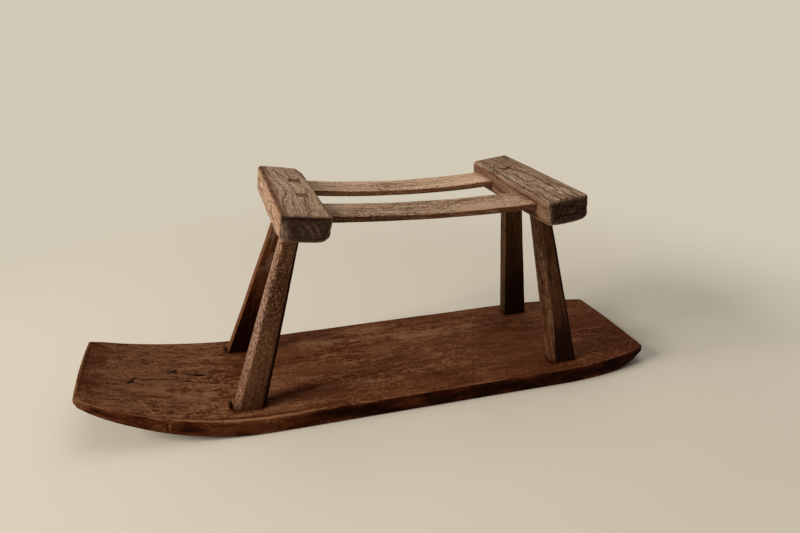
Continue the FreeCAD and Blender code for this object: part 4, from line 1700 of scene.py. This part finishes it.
LEG_FINISHES = (
    replace(
        LEG_WOOD, name="worn_front_left_leg", body=(0.096, 0.0385, 0.0155), dark=(0.026, 0.0085, 0.0033),
        pale=(0.175, 0.086, 0.042), worn=(0.275, 0.16, 0.108), mottle=(300.0, 400.0), fibre=(260.0, 460.0),
        mottle_depth=1.9, speck_depth=3.2, breakup=0.95, fleck_start=0.4, stain=(0.4, 0.26, 0.18)),
    replace(
        LEG_WOOD, name="worn_front_right_leg", body=(0.104, 0.033, 0.0092), dark=(0.026, 0.0066, 0.0018),
        pale=(0.165, 0.076, 0.034), worn=(0.23, 0.13, 0.08), grime=(0.0075, 0.0025, 0.0009),
        stain=(0.3, 0.15, 0.09)),
    replace(
        LEG_WOOD, name="worn_rear_left_leg", body=(0.084, 0.033, 0.013), worn=(0.25, 0.138, 0.078),
        end=(0.36, 0.24, 0.155), breakup=0.5, fleck_start=0.42, stain=(0.34, 0.24, 0.19)),
    # The far rear leg's wood is darker: partly its own tone and partly painted shade.
    replace(
        LEG_WOOD, name="worn_rear_right_leg_with_painted_shade", body=(0.054, 0.0225, 0.0068), dark=(0.013, 0.0046, 0.0013),
        pale=(0.086, 0.042, 0.018), worn=(0.122, 0.06, 0.027), end=(0.36, 0.24, 0.155), breakup=0.45,
        fleck_start=0.45),
)
SLATS = (
    SeatSlat("seat_slat_left", -68.3, 256.3, 245.0, 246.5, FRONT_BLOCK, REAR_BLOCK, 41, marks=(
        *marks_of(Wear.SCRATCH, Face.TOP,
            (2.6, 0, 0.9, (-36, -27), (-26, -26.5)), (2.2, 0, 0.8, (-64, -22), (-46, -23)),
            (2.6, 0, 0.9, (-93, -15), (-80, -17))),
        *marks_of(Wear.CRACK, Face.TOP,
            (1.6, 0.6, 0.8, (-66, -19), (-44, -20.5)), (2, 0.8, 0.85, (-28, -24), (-10, -25)),
            (1.3, 0.4, 0.62, (20, 6), (64, 2)), (1.3, 0.4, 0.6, (-104, 12), (-40, 16)),
            (2.2, 1, 0.9, (-60, -27), (-38, -27))),
        *marks_of(Wear.GOUGE, Face.TOP,
            (3, 0.6, 0.7, (-24, -27), (-6, -27)), (4, 0.8, 0.65, (-60, -25), (-30, -24))))),
    SeatSlat("seat_slat_right", 68.3, 253.4, 238.9, 242.9, FRONT_BLOCK, REAR_BLOCK, 42, marks=marks_of(
        Wear.CRACK, Face.TOP, (2.2, 0.8, 0.9, (-34, -20), (-22, -22)), (2.2, 0.6, 0.8, (48, -20), (56, -20)),
        (2.6, 0.8, 0.9, (-31, -16), (-26, -17)), (2.4, 0.8, 0.9, (-21, -25), (-15, -25)),
        (1.3, 0.4, 0.62, (-110, -4), (-60, -8)))),
)
SLAT_FINISHES = (
    SLAT_WOOD,
    # The far slat's wood is a paler copy of the slat wood: painted light.
    replace(
        SLAT_WOOD, name="worn_far_slat_wood_with_painted_light", body=(0.49, 0.315, 0.196), dark=(0.19, 0.106, 0.059),
        pale=(0.62, 0.435, 0.295), worn=(0.64, 0.455, 0.315)),
)


def main() -> None:
    logging.basicConfig(level=logging.INFO, format="%(name)s: %(message)s")
    Studio().build()
    BOARD.build(LEGS, BOARD_WOOD)
    for leg, finish in zip(LEGS, LEG_FINISHES):
        leg.build(finish)
    FRONT_BLOCK.build(LEGS[:2], SLATS, BLOCK_WOOD)
    REAR_BLOCK.build(LEGS[2:], SLATS, REAR_BLOCK_WOOD)
    for slat, finish in zip(SLATS, SLAT_FINISHES):
        slat.build(finish)


if __name__ == "__main__":
    main()
